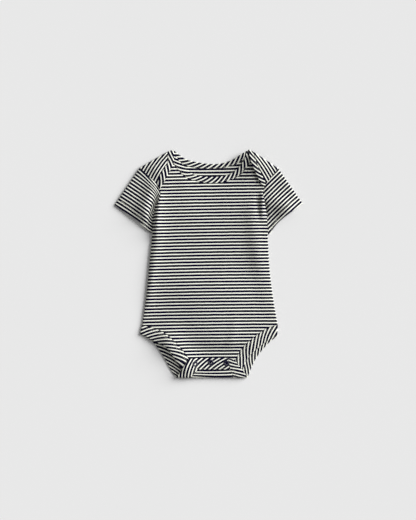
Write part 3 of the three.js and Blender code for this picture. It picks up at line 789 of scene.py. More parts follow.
def panel_plan(left: np.ndarray, right: np.ndarray, neck: np.ndarray, bend: float) -> np.ndarray:
    """Plan grid of a body panel between its side lines, a straight bottom and a neck line.

    Each row is a straight line between the sides. The bow of the shoulders and neck is added
    with the cube of the height, and a parabola spaces the rows evenly down the middle.

    Args:
        left: The left boundary from bottom to top.
        right: The right boundary, with as many points.
        neck: The neck line from left to right.
        bend: Width of the curl at the sides.

    Returns:
        The grid as (rows, columns, 2).
    """
    top = joined(evenly(left[-1], neck[0], SHOULDER_STEPS), neck, evenly(neck[-1], right[-1], SHOULDER_STEPS))
    knots = np.linspace(0.0, 1.0, len(top))
    width = norm(right - left, axis=1)[:, None]
    near = np.append(ROUND_SHARES, 1.0)[None, :] * bend / width
    corners = knots[[SHOULDER_STEPS, SHOULDER_STEPS + len(neck) - 1]]
    inner_start = near[:, -1:]
    ramp = np.linspace(0.0, 1.0, SHOULDER_STEPS + 1)[None, 1:]
    to_neck = inner_start + (corners[0] - inner_start) * ramp
    from_neck = corners[1] + (1.0 - inner_start - corners[1]) * ramp[:, :-1]
    middle = np.broadcast_to(knots[SHOULDER_STEPS + 1:SHOULDER_STEPS + len(neck)], (len(left), len(neck) - 1))
    shares = np.concatenate([near, to_neck, middle, from_neck, 1.0 - near[:, ::-1]], axis=1)[..., None]
    lengths = [lengths_along(line) / lengths_along(line)[-1] for line in (left, right)]
    up = ((lengths[0] + lengths[1]) / 2)[:, None, None]

    def bow(share: np.ndarray) -> np.ndarray:
        """How far the top line stands off the straight line between its ends."""
        return read_along(top, knots, share[..., 0]) - between(top[0], top[-1], share)

    def place(share: np.ndarray) -> np.ndarray:
        """Plan points at these shares of each row."""
        return between(left[:, None], right[:, None], share) + bow(share) * up**3

    centre = place(np.full((len(left), 1, 1), 0.5))[..., 1:]
    bottom_y, top_y = (left[0, 1] + right[0, 1]) / 2, np.interp(0.5, knots, top[:, 1])
    lift = bottom_y + (top_y - bottom_y) * up - centre
    grid = place(shares)
    grid[..., 1:] += lift * 4.0 * shares * (1.0 - shares)
    return grid


class Graph:
    """Writes the nodes of one material."""

    def __init__(self, name: str) -> None:
        """Starts a material with a surface shader and its output.

        Args:
            name: The material's name.
        """
        self.material = bpy.data.materials.new(name)
        self.material.use_nodes = True
        self.tree = self.material.node_tree
        self.tree.nodes.clear()
        output = self.tree.nodes.new("ShaderNodeOutputMaterial")
        self.shader = self.tree.nodes.new("ShaderNodeBsdfPrincipled")
        self.tree.links.new(self.shader.outputs[0], output.inputs["Surface"])

    def put(self, socket: bpy.types.NodeSocket, value: object) -> None:
        """Links a socket to an input, or sets the input's own value."""
        if isinstance(value, bpy.types.NodeSocket):
            self.tree.links.new(value, socket)
        else:
            socket.default_value = value

    def node(self, kind: str, inputs: dict[str | int, object], **settings: object) -> bpy.types.Node:
        """A node with its settings and inputs.

        Args:
            kind: The node's type.
            inputs: Values or sockets by input name or number.
            **settings: The node's own settings.

        Returns:
            The node.
        """
        made = self.tree.nodes.new(kind)
        for key, value in settings.items():
            setattr(made, key, value)
        for key, value in inputs.items():
            self.put(made.inputs[key], value)
        return made

    def math(self, operation: str, *values: object) -> bpy.types.NodeSocket:
        """The result of one sum on numbers or sockets."""
        inputs = dict(enumerate(values))
        return self.node("ShaderNodeMath", inputs, operation=operation).outputs[0]

    def ramp(self, value: object, low: float, high: float, start: float, end: float) -> bpy.types.NodeSocket:
        """A value carried smoothly from the range low to high into the range start to end."""
        inputs = {"Value": value, "From Min": low, "From Max": high, "To Min": start, "To Max": end}
        return self.node("ShaderNodeMapRange", inputs, interpolation_type="SMOOTHSTEP").outputs[0]

    def noise(self, vector: object, scale: float, detail: float = 2.0) -> bpy.types.NodeSocket:
        """Noise from about 0 to 1."""
        inputs = {"Vector": vector, "Scale": scale, "Detail": detail}
        return self.node("ShaderNodeTexNoise", inputs).outputs["Fac"]

    def mix(self, share: object, first: object, second: object) -> bpy.types.NodeSocket:
        """A colour between two colours."""
        inputs = dict(zip(MIX_INPUTS, (share, first, second)))
        return self.node("ShaderNodeMix", inputs, data_type="RGBA").outputs[MIX_RESULT]

    def tinted(self, colour: object, factor: object) -> bpy.types.NodeSocket:
        """A colour made lighter or darker by a factor."""
        base = colour[:3] if isinstance(colour, tuple) else colour
        return self.node("ShaderNodeVectorMath", {0: base, "Scale": factor}, operation="SCALE").outputs[0]

    def bump(self, height: object, strength: float, depth: float) -> None:
        """Raises the surface by a height, with its full depth in metres."""
        made = self.node("ShaderNodeBump", {"Height": height, "Strength": strength, "Distance": depth})
        self.put(self.shader.inputs["Normal"], made.outputs[0])

    def coordinates(self) -> bpy.types.NodeSocket:
        """The object's own coordinates."""
        return self.tree.nodes.new("ShaderNodeTexCoord").outputs["Object"]

    def surface(self, inputs: dict[str, object]) -> bpy.types.Material:
        """Sets inputs of the surface shader by name, and gives the finished material."""
        for name, value in inputs.items():
            self.put(self.shader.inputs[name], value)
        return self.material


@dataclass(frozen=True)
class StripedJersey:
    """Single jersey of cotton, in two colours that change every few courses of the knit."""

    name: str
    pale: Colour
    dark: Colour
    pale_share: float = 0.33
    edge_blur: float = 0.015
    courses: float = 9.0
    wales: float = 7.4
    drift: float = 0.12
    drift_scale: float = 0.35
    yarn_scale: float = 7.0
    yarn_detail: float = 4.0
    yarn_range: Span = (0.25, 0.75)
    yarn_shades: Span = (0.92, 1.04)
    # painted shade and highlight of the knit: colour factors from the loops' dips to their raised crowns
    painted_loop_shading: Span = (0.88, 1.03)
    loop_range: Span = (-1.6, 1.6)
    fibre_scale: float = 42.0
    fibre_detail: float = 3.0
    fibre_height: float = 0.9
    strength: float = 0.35
    depth: float = 0.00012
    roughness: float = 0.92
    specular: float = 0.04
    sheen: float = 0.02
    sheen_roughness: float = 0.55

    def material(self) -> bpy.types.Material:
        """The cloth's colour and knit, on the map that counts stripes.

        Each loop is a slanted leg: the course count is carried sideways by a zigzag of the wale
        count, so that loops make small V shapes. The stripe's edge follows the same zigzag. The
        colour holds painted shade in the knit's dips and painted highlight on the loops' crowns,
        from the same pattern as the bump.

        Returns:
            The material.
        """
        graph = Graph(self.name)
        cloth = graph.node("ShaderNodeUVMap", {}, uv_map=CLOTH_MAP).outputs[0]
        parts = graph.node("ShaderNodeSeparateXYZ", {0: cloth}).outputs
        wander = graph.math("SUBTRACT", graph.noise(cloth, self.drift_scale), 0.5)
        across = graph.math("ADD", parts["Y"], graph.math("MULTIPLY", wander, self.drift))
        zigzag = graph.math("PINGPONG", graph.math("MULTIPLY", parts["X"], self.wales), 0.5)
        course = graph.math("ADD", graph.math("MULTIPLY", across, self.courses), zigzag)
        loop = graph.math("SINE", graph.math("MULTIPLY", course, 2.0 * np.pi))
        leg = graph.math("SINE", graph.math("MULTIPLY", zigzag, 2.0 * np.pi))
        edge = graph.math("ADD", across, graph.math("DIVIDE", zigzag, self.courses))
        turn = graph.math("PINGPONG", edge, 0.5)
        half = self.pale_share / 2
        dark_here = graph.ramp(turn, half - self.edge_blur, half + self.edge_blur, 0.0, 1.0)
        yarn = graph.noise(cloth, self.yarn_scale, self.yarn_detail)
        yarn_shade = graph.ramp(yarn, *self.yarn_range, *self.yarn_shades)
        knit = graph.math("ADD", loop, leg)
        # painted shade and highlight: the knit pattern that drives the bump darkens the colour in its dips
        # and lightens it on the loops' crowns
        painted_loop_shade = graph.ramp(knit, *self.loop_range, *self.painted_loop_shading)
        # shade is the random yarn tone times the painted loop shade and highlight
        shade = graph.math("MULTIPLY", yarn_shade, painted_loop_shade)
        colour = graph.tinted(graph.mix(dark_here, self.pale, self.dark), shade)
        fibre = graph.noise(cloth, self.fibre_scale, self.fibre_detail)
        height = graph.math("ADD", knit, graph.math("MULTIPLY", fibre, self.fibre_height))
        graph.bump(height, self.strength, self.depth)
        return graph.surface({"Base Color": colour, "Roughness": self.roughness,
                              "Specular IOR Level": self.specular, "Sheen Weight": self.sheen,
                              "Sheen Roughness": self.sheen_roughness})


@dataclass(frozen=True)
class Thread:
    """Twisted sewing thread."""

    name: str
    colour: Colour
    ply_scale: float = 900.0
    ply_wander: float = 1.5
    # painted shade and highlight of the twist: colour factors from the grooves between plies to their crowns
    painted_ply_shading: Span = (0.8, 1.05)
    strength: float = 0.4
    depth: float = 0.00008
    roughness: float = 0.75

    def material(self) -> bpy.types.Material:
        """Thread with slanted plies, from bands across the object's coordinates, with painted shade in the
        grooves between plies and painted highlight on their crowns.
        """
        graph = Graph(self.name)
        inputs = {"Vector": graph.coordinates(), "Scale": self.ply_scale, "Distortion": self.ply_wander}
        plies = graph.node("ShaderNodeTexWave", inputs, bands_direction="DIAGONAL").outputs["Fac"]
        # painted shade and highlight: the ply bands that drive the bump darken the grooves and lighten the
        # crowns
        colour = graph.tinted(self.colour, graph.ramp(plies, 0.0, 1.0, *self.painted_ply_shading))
        graph.bump(plies, self.strength, self.depth)
        return graph.surface({"Base Color": colour, "Roughness": self.roughness})


@dataclass(frozen=True)
class SnapFinish:
    """Enamelled or bare metal of a snap, a little uneven from the press and from wear."""

    name: str
    colour: Colour
    worn: Colour
    metallic: float
    roughness: float
    coat: float
    coat_roughness: float = 0.2
    spot_scale: float = 900.0
    spot_detail: float = 3.0
    spot_range: Span = (0.62, 0.74)
    spot_share: float = 0.35
    mottle_scale: float = 400.0
    mottle_shades: Span = (0.85, 1.1)
    noise_range: Span = (0.3, 0.7)
    rough_scale: float = 1500.0
    rough_change: Span = (-0.06, 0.08)
    pit_scale: float = 1200.0
    strength: float = 0.15
    depth: float = 0.00005

    def material(self) -> bpy.types.Material:
        """Metal with faint mottling, fine pits and small worn spots."""
        graph = Graph(self.name)
        place = graph.coordinates()
        uneven = graph.noise(place, self.spot_scale, self.spot_detail)
        spots = graph.ramp(uneven, *self.spot_range, 0.0, 1.0)
        shade = graph.ramp(graph.noise(place, self.mottle_scale), *self.noise_range, *self.mottle_shades)
        base = graph.mix(graph.math("MULTIPLY", spots, self.spot_share), self.colour, self.worn)
        low, high = (self.roughness + change for change in self.rough_change)
        rough = graph.ramp(graph.noise(place, self.rough_scale), *self.noise_range, low, high)
        graph.bump(graph.noise(place, self.pit_scale), self.strength, self.depth)
        return graph.surface({"Base Color": graph.tinted(base, shade), "Metallic": self.metallic,
                              "Roughness": rough, "Coat Weight": self.coat,
                              "Coat Roughness": self.coat_roughness})


@dataclass(frozen=True)
class PaleFloor:
    """The plain surface that the garment lies on."""

    name: str
    colour: Colour
    shades: Span = (0.995, 1.005)
    scale: float = 2.0
    roughness: float = 0.95
    specular: float = 0.05

    def material(self) -> bpy.types.Material:
        """Matt paint with the faintest change of shade."""
        graph = Graph(self.name)
        shade = graph.ramp(graph.noise(graph.coordinates(), self.scale), 0.0, 1.0, *self.shades)
        return graph.surface({"Base Color": graph.tinted(self.colour, shade), "Roughness": self.roughness,
                              "Specular IOR Level": self.specular})


@dataclass(frozen=True)
class Wardrobe:
    """The materials of the garment."""

    jersey: bpy.types.Material
    thread: bpy.types.Material
    ring: bpy.types.Material
    stud: bpy.types.Material


def dress(piece: bpy.types.Object, material: bpy.types.Material, slot: str | None, *nodes: str) -> None:
    """Gives a piece its material and its place in the frame.

    Args:
        piece: The piece.
        material: Its material.
        slot: The record's material slot, or none; not used.
        *nodes: The solids that the piece stands for.
    """
    piece.data.materials.append(material)
    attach(piece, "root")
    if nodes:
        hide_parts(*nodes)
    log.info("%s: %d triangles", piece.name, len(piece.data.polygons))


@dataclass
class Stitches:
    """Rows of raised stitches along lines on a cloth's face."""

    spacing: float = 2.7
    length: float = 2.1
    radius: float = 0.17
    arch: float = 0.16
    sides: int = 6
    sections: int = 5
    blunt: float = 1.02
    reach: float = 0.4

    def row(self, path: np.ndarray, normals: np.ndarray) -> tuple[np.ndarray, np.ndarray]:
        """One row: the same arched thread set down at even steps of the path.

        A thread's section is a circle that narrows to its blunt ends, on a parabola that rises
        off the cloth in the middle.

        Args:
            path: Points on the cloth's face as (n, 3).
            normals: The face's normals there.

        Returns:
            Points as (m, 3) and triangles as (k, 3).
        """
        lengths = lengths_along(path)
        count = max(1, int((lengths[-1] - self.length) / self.spacing))
        centres = self.length / 2 + np.arange(count) * self.spacing
        middle, normal = (read_along(values, lengths, centres) for values in (path, normals))
        before, after = (read_along(path, lengths, centres + reach) for reach in (-self.reach, self.reach))
        way = unit(after - before)
        side = np.cross(normal, way)
        t = np.linspace(-1.0, 1.0, self.sections)[:, None]
        turn = circle(self.sides)[None, :]
        radius = self.radius * np.sqrt(self.blunt - t**2)
        x = np.broadcast_to(t * self.length / 2, (self.sections, self.sides)).reshape(-1)
        y = (radius * np.cos(turn)).reshape(-1)
        z = (radius * np.sin(turn) + self.arch * (1.0 - t**2)).reshape(-1)
        points = (middle[:, None] + way[:, None] * x[None, :, None] + side[:, None] * y[None, :, None]
                  + normal[:, None] * z[None, :, None])
        ids = np.arange(self.sections * self.sides).reshape(self.sections, self.sides)
        beside = np.roll(ids, -1, axis=1)
        fan = np.arange(1, self.sides - 1)
        start_cap = np.stack([np.zeros_like(fan), fan + 1, fan], -1)
        end_cap = np.stack([np.zeros_like(fan), fan, fan + 1], -1) + ids[-1, 0]
        one = np.concatenate([quads(ids[:-1], beside[:-1], beside[1:], ids[1:]), start_cap, end_cap])
        triangles = one[None] + (np.arange(count) * ids.size)[:, None, None]
        return points.reshape(-1, 3), triangles.reshape(-1, 3)

    def sewn(self, name: str, rows: list[tuple[np.ndarray, np.ndarray]]) -> bpy.types.Object:
        """All rows of one piece of sewing, as one object.

        Args:
            name: The object's name.
            rows: Path and normals of each row.

        Returns:
            The object.
        """
        points, triangles, first = [], [], 0
        for path, normals in rows:
            made, faces = self.row(path, normals)
            points.append(made)
            triangles.append(faces + first)
            first += len(made)
        return write_mesh(name, np.concatenate(points), np.concatenate(triangles))


@dataclass
class BodyPanels:
    """The front, and the back with its shoulder laps and crotch flap."""

    front_stripes: PlanStripes = PlanStripes(x=1.3, y=-3.8, angle=0.86, pitch=5.6, phase=0.268, bow=0.12,
                                             fan=-0.05)
    back_stripes: PlanStripes = PlanStripes(x=1.1, y=156.9, angle=0.38, pitch=5.71, phase=0.8, bow=-0.5)
    flap_stripes: PlanStripes = PlanStripes(x=8.6, y=-185.8, angle=0.0, pitch=4.93, phase=0.56, bow=-2.0,
                                            fan=-7.4)
    lap_stripes: tuple[PlanStripes, PlanStripes] = (
        PlanStripes(x=-91.3, y=164.4, angle=56.7, pitch=5.11, phase=0.338, bow=5.5, fan=3.6),
        PlanStripes(x=95.1, y=163.3, angle=-55.3, pitch=4.96, phase=0.448, bow=3.4, fan=-4.4),
    )
    front_cut: Cut = Cut(width=0.233, length=0.351, area=0.0623)
    back_cut: Cut = Cut(width=0.260, length=0.410, area=0.0723)

    def front(self) -> bpy.types.Object:
        """The front, from its neck seam to its crotch end."""

        def boundary(lines: SideLines) -> np.ndarray:
            """Crotch end, leg, side and armhole, up to where the shoulder lap hides the edge."""
            armhole = joined(Line(lines.plan.armhole).sampled(ARMHOLE_STEPS, UNDERARM_FOLD),
                             Line(lines.plan.armhole_top).sampled(TOP_STEPS, PLAIN, BELOW_SHOULDER))
            return joined(moved(lines.front_leg, lines.half_seam), lines.moved_side,
                          moved(armhole, lines.half_seam))

        neck = moved(Line(FRONT_NECK).sampled(NECK_STEPS), SEAM / 2)
        plan = panel_plan(*map(boundary, SIDES.values()), neck, SIDE_ROLL)
        points = raised(plan, curled(plan, front_level(plan), SIDE_SEAM_LEVEL + SEAM, SIDE_ROLL))
        half = rounded_edges(points) * JERSEY / 2
        return shell("front", [Patch(points, self.front_stripes.at(plan), half)])

    def back_height(self, plan: np.ndarray) -> np.ndarray:
        """Height of the back's middle: flat on the floor, curled at its sides and folded edges."""
        heights = [curled(plan, BACK_LEVEL, SIDE_SEAM_LEVEL - SEAM, SIDE_FOLD.bend)]
        heights += [folded(BACK_LEVEL, SHOULDER_MIDDLE, lines.inside_shoulder(plan), SHOULDER_FOLD.bend)
                    for lines in SIDES.values()]
        heights.append(folded(BACK_LEVEL, CROTCH_MIDDLE, inside_crotch(plan), CROTCH_FOLD.bend))
        return np.maximum.reduce(heights)

    def flap(self, folded_edge: np.ndarray) -> tuple[np.ndarray, np.ndarray]:
        """The crotch flap, from its end down to the crotch fold.

        Args:
            folded_edge: The main panel's first row.

        Returns:
            Its points above the fold as (rows, columns, 3), and their stripes.
        """
        left, right = (moved(lines.flap_side, lines.half_seam)[:, None] for lines in SIDES.values())
        from_start = norm(folded_edge - folded_edge[0], axis=-1)
        share = (from_start / from_start[-1])[None, :, None]
        plan = between(left, right, share)
        points = raised(plan, folded(FLAP_LEVEL, CROTCH_MIDDLE, inside_crotch(plan), CROTCH_FOLD.bend))
        return points[:0:-1], self.flap_stripes.at(plan)[:0:-1]

    def lap(self, lines: SideLines, folded_edge: np.ndarray, stripes: PlanStripes) -> Patch:
        """A shoulder lap, from the shoulder's folded edge to the armhole end that cuts it off.

        Args:
            lines: The side that it is on.
            folded_edge: The folded edge's points from the armhole to the neck.
            stripes: The lap's stripes.

        Returns:
            The lap as a patch that starts with the folded edge.
        """
        count = len(lines.lap)
        armhole_edge = lines.moved_armhole[-count:][::-1]
        neck_edge = moved(lines.lap, -lines.half_seam)[::-1]
        start, end = folded_edge[0], folded_edge[-1]
        share = (norm(folded_edge - start, axis=-1) / norm(end - start))[None, :, None]
        plan = between(armhole_edge[:, None], neck_edge[:, None], share)
        plan[-1] = lines.lap[0] + unit((start[:2] + end[:2]) / 2 - lines.lap[0]) * 2 * SEAM
        height = folded(LAP_LEVEL, SHOULDER_MIDDLE, lines.inside_shoulder(plan), SHOULDER_FOLD.bend)
        points = np.concatenate([folded_edge[None], raised(plan, height + lap_rise(plan))[1:]])
        half = rounded_edges(points, bottom=False) * JERSEY / 2
        return Patch(points, stripes.at(points), half)

    def back(self) -> bpy.types.Object:
        """The back, with the laps and the flap going on from its folded edges."""

        def boundary(lines: SideLines) -> np.ndarray:
            """Leg, side and armhole up to the shoulder."""
            leg = moved(lines.back_leg, lines.half_seam)
            leg[:len(ROUND_SHARES) + 1, 0] += lines.half_seam
            return joined(leg, lines.moved_side, lines.moved_armhole)

        steps = NECK_STEPS - 2 * len(ROUND_SHARES)
        neck = moved(Line(BACK_NECK).sampled(steps, SHOULDER_FOLD, SHOULDER_FOLD), SEAM / 2)
        plan = panel_plan(*map(boundary, SIDES.values()), neck, SIDE_FOLD.bend)
        main = raised(plan, self.back_height(plan))
        flap, flap_stripes = self.flap(main[0])
        points = np.concatenate([flap, main])
        stripes = np.concatenate([flap_stripes, self.back_stripes.at(plan)])
        shoulder = len(ROUND_SHARES) + 1 + SHOULDER_STEPS
        on_neck = np.zeros(points.shape[1], bool)
        on_neck[shoulder - 1:-shoulder + 1] = True
        half = rounded_edges(points, top=on_neck) * JERSEY / 2
        patches = [Patch(points, stripes, half)]
        left_edge, right_edge = main[-1, :shoulder], main[-1, -shoulder:][::-1]
        patches.append(self.lap(SIDES[Side.LEFT], left_edge, self.lap_stripes[0]))
        right = self.lap(SIDES[Side.RIGHT], right_edge, self.lap_stripes[1])
        patches.append(Patch(right.points[:, ::-1], right.stripes[:, ::-1], right.half[:, ::-1]))
        return shell("back", patches)

    def build(self, wardrobe: Wardrobe) -> None:
        """Args:
            wardrobe: The garment's materials.
        """
        back, front = self.back(), self.front()
        dress(back, wardrobe.jersey, "jersey", "back_body")
        dress(front, wardrobe.jersey, "jersey", "front_body")


@dataclass
class Sleeve:
    """A short sleeve as a flat tube, with a turned and stitched hem."""

    side: Side
    stripes: PlanStripes
    creases: tuple[Crease, ...]
    cut: Cut
    dip: float = 0.0
    dip_reach: float = 9.0
    wall: float = 0.9
    seam_reach: float = 5.0
    hem_depth: float = 13.0
    hem_fold: float = 0.25
    hem_edge: float = 0.5
    lap_blend: Span = (-12.0, 2.0)
    row_insets: Span = (1.4, 4.4)
    row_margin: int = 4

    @property
    def name(self) -> str:
        """The sleeve's node and piece name."""
        return f"sleeve_{self.side.name.lower()}"

    def body_level(self, seam_edge: np.ndarray) -> np.ndarray:
        """Height of the body's upper layer along the armhole: the front's, then the lap's.

        Args:
            seam_edge: The armhole line's points as (n, 2).

        Returns:
            The height at each point.
        """
        along = lengths_along(seam_edge)
        lap_start = along[-len(SIDES[self.side].lap)]
        share = smooth_step(along - lap_start, *self.lap_blend)
        return between(front_level(seam_edge), LAP_LEVEL, share)

    def tube(self) -> Patch:
        """Rings from the armhole to the hem, each along the front layer and back along the under one.

        The upper layer meets the body at its height there. Its stripes dip towards the armhole
        by a bell of the distance from it, which is strongest half way up.

        Returns:
            The sleeve.
        """
        lines = SIDES[self.side]
        hem = Line(lines.plan.hem).sampled(ARMHOLE_STEPS + TOP_STEPS, UNDERARM_FOLD, SHOULDER_FOLD)
        seam_edge = moved(lines.armhole, -lines.half_seam)
        inner = np.linspace(*SLEEVE_INNER_SHARES, SLEEVE_STEPS)
        step = np.concatenate([SLEEVE_END_SHARES, inner, 1.0 - SLEEVE_END_SHARES[::-1]])[:, None, None]
        plan = between(seam_edge[None], hem[None], step)
        along = lengths_along(lines.armhole)
        round_share = quarter_round(along, SLEEVE_ROLL) * quarter_round(along[-1] - along, SLEEVE_ROLL)
        to_hem = norm(hem[None] - plan, axis=-1)
        to_seam = norm(plan - seam_edge[None], axis=-1)
        in_hem = 1.0 - smooth_step(to_hem - self.hem_depth, -self.hem_edge, self.hem_edge)
        free = smooth_step(to_hem, *HEM_SLOPE)
        level = HEM_LEVEL + free * (SLEEVE_LEVEL - HEM_LEVEL + relief(self.creases, plan))
        level = level + (self.body_level(seam_edge) - level[0]) * np.exp(-((to_seam / self.seam_reach) ** 2))
        level = np.maximum(level, HEM_LEVEL)
        floor_level = self.wall / 2 + in_hem * self.hem_fold / 2
        middle = (level + floor_level) / 2
        upper = raised(plan, middle + (level - middle) * round_share)
        lower = raised(plan, middle + (floor_level - middle) * round_share)
        points = np.concatenate([upper, lower[:, -2::-1]], axis=1)
        half = rounded_edges(points, left=False, right=False) * self.wall / 2
        half = half + np.concatenate([in_hem, in_hem[:, -2::-1]], axis=1) * self.hem_fold / 2
        dip = self.dip * np.sin(np.pi * along / along[-1]) ** 2 * np.exp(-((to_seam / self.dip_reach) ** 2))
        read_at = points[..., :2].copy()
        read_at[:, :len(along), 1] += dip
        return Patch(points, self.stripes.at(read_at), half)

    def build(self, wardrobe: Wardrobe) -> None:
        """Makes the sleeve and its hem's twin rows of stitches.

        Args:
            wardrobe: The garment's materials.
        """
        patch = self.tube()
        sleeve = shell(self.name + "_cloth", [patch])
        dress(sleeve, wardrobe.jersey, "jersey", self.name)
        face, normals = patch.outer()
        columns = len(SIDES[self.side].armhole)
        to_hem = norm(face[-1, columns // 2] - face[:, columns // 2], axis=-1)
        rows = [int(np.argmin(np.abs(to_hem - self.hem_depth + inset))) for inset in self.row_insets]
        sewn = slice(self.row_margin, columns - self.row_margin)
        paths = [(face[row, sewn], normals[row, sewn]) for row in rows]
        stitches = Stitches().sewn(self.name + "_stitches", paths)
        dress(stitches, wardrobe.thread, None)


@dataclass(frozen=True)
class Turn:
    """A fold at the end of a strip's run: its middle height and its bend."""

    middle: float
    bend: float


@dataclass
class Run:
    """A stretch of a strip between its seam line and its free edge."""

    seam: np.ndarray
    free: np.ndarray
    level: Level
    stripes: BiasStripes | PlanStripes
    start: Turn | None = None
    end: Turn | None = None
    columns: int = BAND_COLUMNS
    fullness: float = 0.22
    pucker: float = 0.1

    def grid(self) -> tuple[np.ndarray, np.ndarray, np.ndarray]:
        """The run's plan, from the seam line to the free edge.

        Returns:
            The plan as (rows, columns, 2), and each point's distance along the seam line and
            across the strip.
        """
        ways = self.free - self.seam
        width = norm(ways, axis=1, keepdims=True)
        near = ROUND_SHARES * BINDING / 2
        net = width - SEAM / 2
        inner = BINDING / 2 + (net - BINDING) * np.linspace(0.0, 1.0, self.columns + 1)[None, :]
        first = np.broadcast_to(near, (len(net), len(near)))
        across = SEAM / 2 + np.concatenate([first, inner, net - near[::-1]], axis=1)
        plan = self.seam[:, None] + (ways / width)[:, None] * across[..., None]
        along = np.broadcast_to(lengths_along(self.seam)[:, None], across.shape)
        return plan, along, across

    def patch(self) -> Patch:
        """The run's surface.

        The wall is fullest in the middle of the strip and rounded at both edges. Small puckers,
        which are waves of changing length along the seam, fade out across the strip.

        Returns:
            The patch.
        """
        plan, along, across = self.grid()
        height = self.level(plan)
        share = (across - across[:, :1]) / (across[:, -1:] - across[:, :1])
        quick, slow, beat = (along * rate for rate in PUCKER_RATES)
        wave = np.sin(quick + PUCKER_SWING * np.sin(slow)) * np.sin(beat + PUCKER_SHIFT)
        rises = np.zeros_like(height)
        for turn, distance in ((self.start, along), (self.end, along[-1:] - along)):
            if turn:
                rises += (turn.middle - height) * (1.0 - quarter_round(distance, turn.bend))
        points = raised(plan, height + rises)
        half = rounded_edges(points, bottom=False, top=False, bend=BINDING / 2) * BINDING / 2
        half = half * (1.0 - self.fullness / 2 + self.fullness * np.sin(np.pi * share))
        half = half + self.pucker * wave * (1.0 - share) ** 2 * np.minimum(share * PUCKER_GROWTH, 1.0)
        if isinstance(self.stripes, BiasStripes):
            stripes = self.stripes.at(along, across)
        else:
            stripes = self.stripes.at(plan)
        return Patch(points, stripes, half)

    def stitch_row(self, patch: Patch, distance: float) -> tuple[np.ndarray, np.ndarray]:
        """A line on the run's face at a distance from its seam edge, with its normals."""
        face, normals = patch.outer()
        near = len(ROUND_SHARES)
        to_seam = norm(face[len(face) // 2] - face[len(face) // 2, :1], axis=-1)
        column = near + int(np.argmin(np.abs(to_seam[near:] - distance)))
        return face[:, column], normals[:, column]


@dataclass
class Strip:
    """A bias strip of one or more runs, end to end, with rows of stitches beside its seam."""

    name: str
    node: str
    runs: list[Run]
    cut: Cut
    held: str
    rests_on: list[str]
    rows: tuple[float, ...] = (2.0,)

    def build(self, wardrobe: Wardrobe) -> None:
        """Makes the strip and its stitches.

        Args:
            wardrobe: The garment's materials.
        """
        patches = [run.patch() for run in self.runs]
        whole = Patch(joined(*(patch.points for patch in patches)),
                      joined(*(patch.stripes for patch in patches)),
                      joined(*(patch.half for patch in patches)))
        strip = shell(self.name, [whole])
        dress(strip, wardrobe.jersey, "binding", self.node)
        lines = [run.stitch_row(patch, row) for run, patch in zip(self.runs, patches) for row in self.rows]
        sewn = slice(ROW_TRIM, -ROW_TRIM)
        stitches = Stitches().sewn(self.name + "_stitches", [(path[sewn], up[sewn]) for path, up in lines])
        dress(stitches, wardrobe.thread, None)


@dataclass
class LegBinding:
    """The strip round a leg opening: front, hip, back, crotch fold and flap."""

    side: Side
    front_stripes: BiasStripes
    back_stripes: BiasStripes
    flap_stripes: BiasStripes | PlanStripes
    cut: Cut
    rows: tuple[float, float] = (2.0, 5.0)

    def strip(self) -> Strip:
        """The strip's three runs between the sampled lines of its side."""
        lines = SIDES[self.side]
        plan = lines.plan
        hip = Turn(SIDE_SEAM_LEVEL, SIDE_FOLD.bend)
        crotch = Turn((FLAP_LEVEL + BACK_BAND_LEVEL) / 2, CROTCH_FOLD.bend)
        front = Run(
            seam=joined(Line(plan.front_end).sampled(FLAP_STEPS), lines.front_leg),
            free=joined(Line(plan.front_end_free).sampled(FLAP_STEPS),
                        Line(plan.front_leg_free).sampled(LEG_STEPS, CUT, SIDE_FOLD)),
            level=front_band_level, stripes=self.front_stripes, end=hip,
        )
        back = Run(
            seam=lines.back_leg[::-1],
            free=Line(plan.back_leg_free).sampled(LEG_STEPS, CROTCH_FOLD, SIDE_FOLD)[::-1],
            level=at_level(BACK_BAND_LEVEL), stripes=self.back_stripes, start=hip, end=crotch, pucker=0.0,
        )
        flap = Run(
            seam=joined(lines.flap_side, Line(plan.flap_corner).sampled(FLAP_STEPS)),
            free=joined(Line(plan.flap_side_free).sampled(FLAP_STEPS, CROTCH_FOLD, CUT),
                        Line(plan.flap_corner_free).sampled(FLAP_STEPS)),
            level=at_level(FLAP_LEVEL), stripes=self.flap_stripes, start=crotch,
        )
        name = self.side.name.lower()
        return Strip(f"leg_band_{name}", f"leg_binding_{name}", [front, back, flap], self.cut, "folded",
                     ["floor", "front"], self.rows)


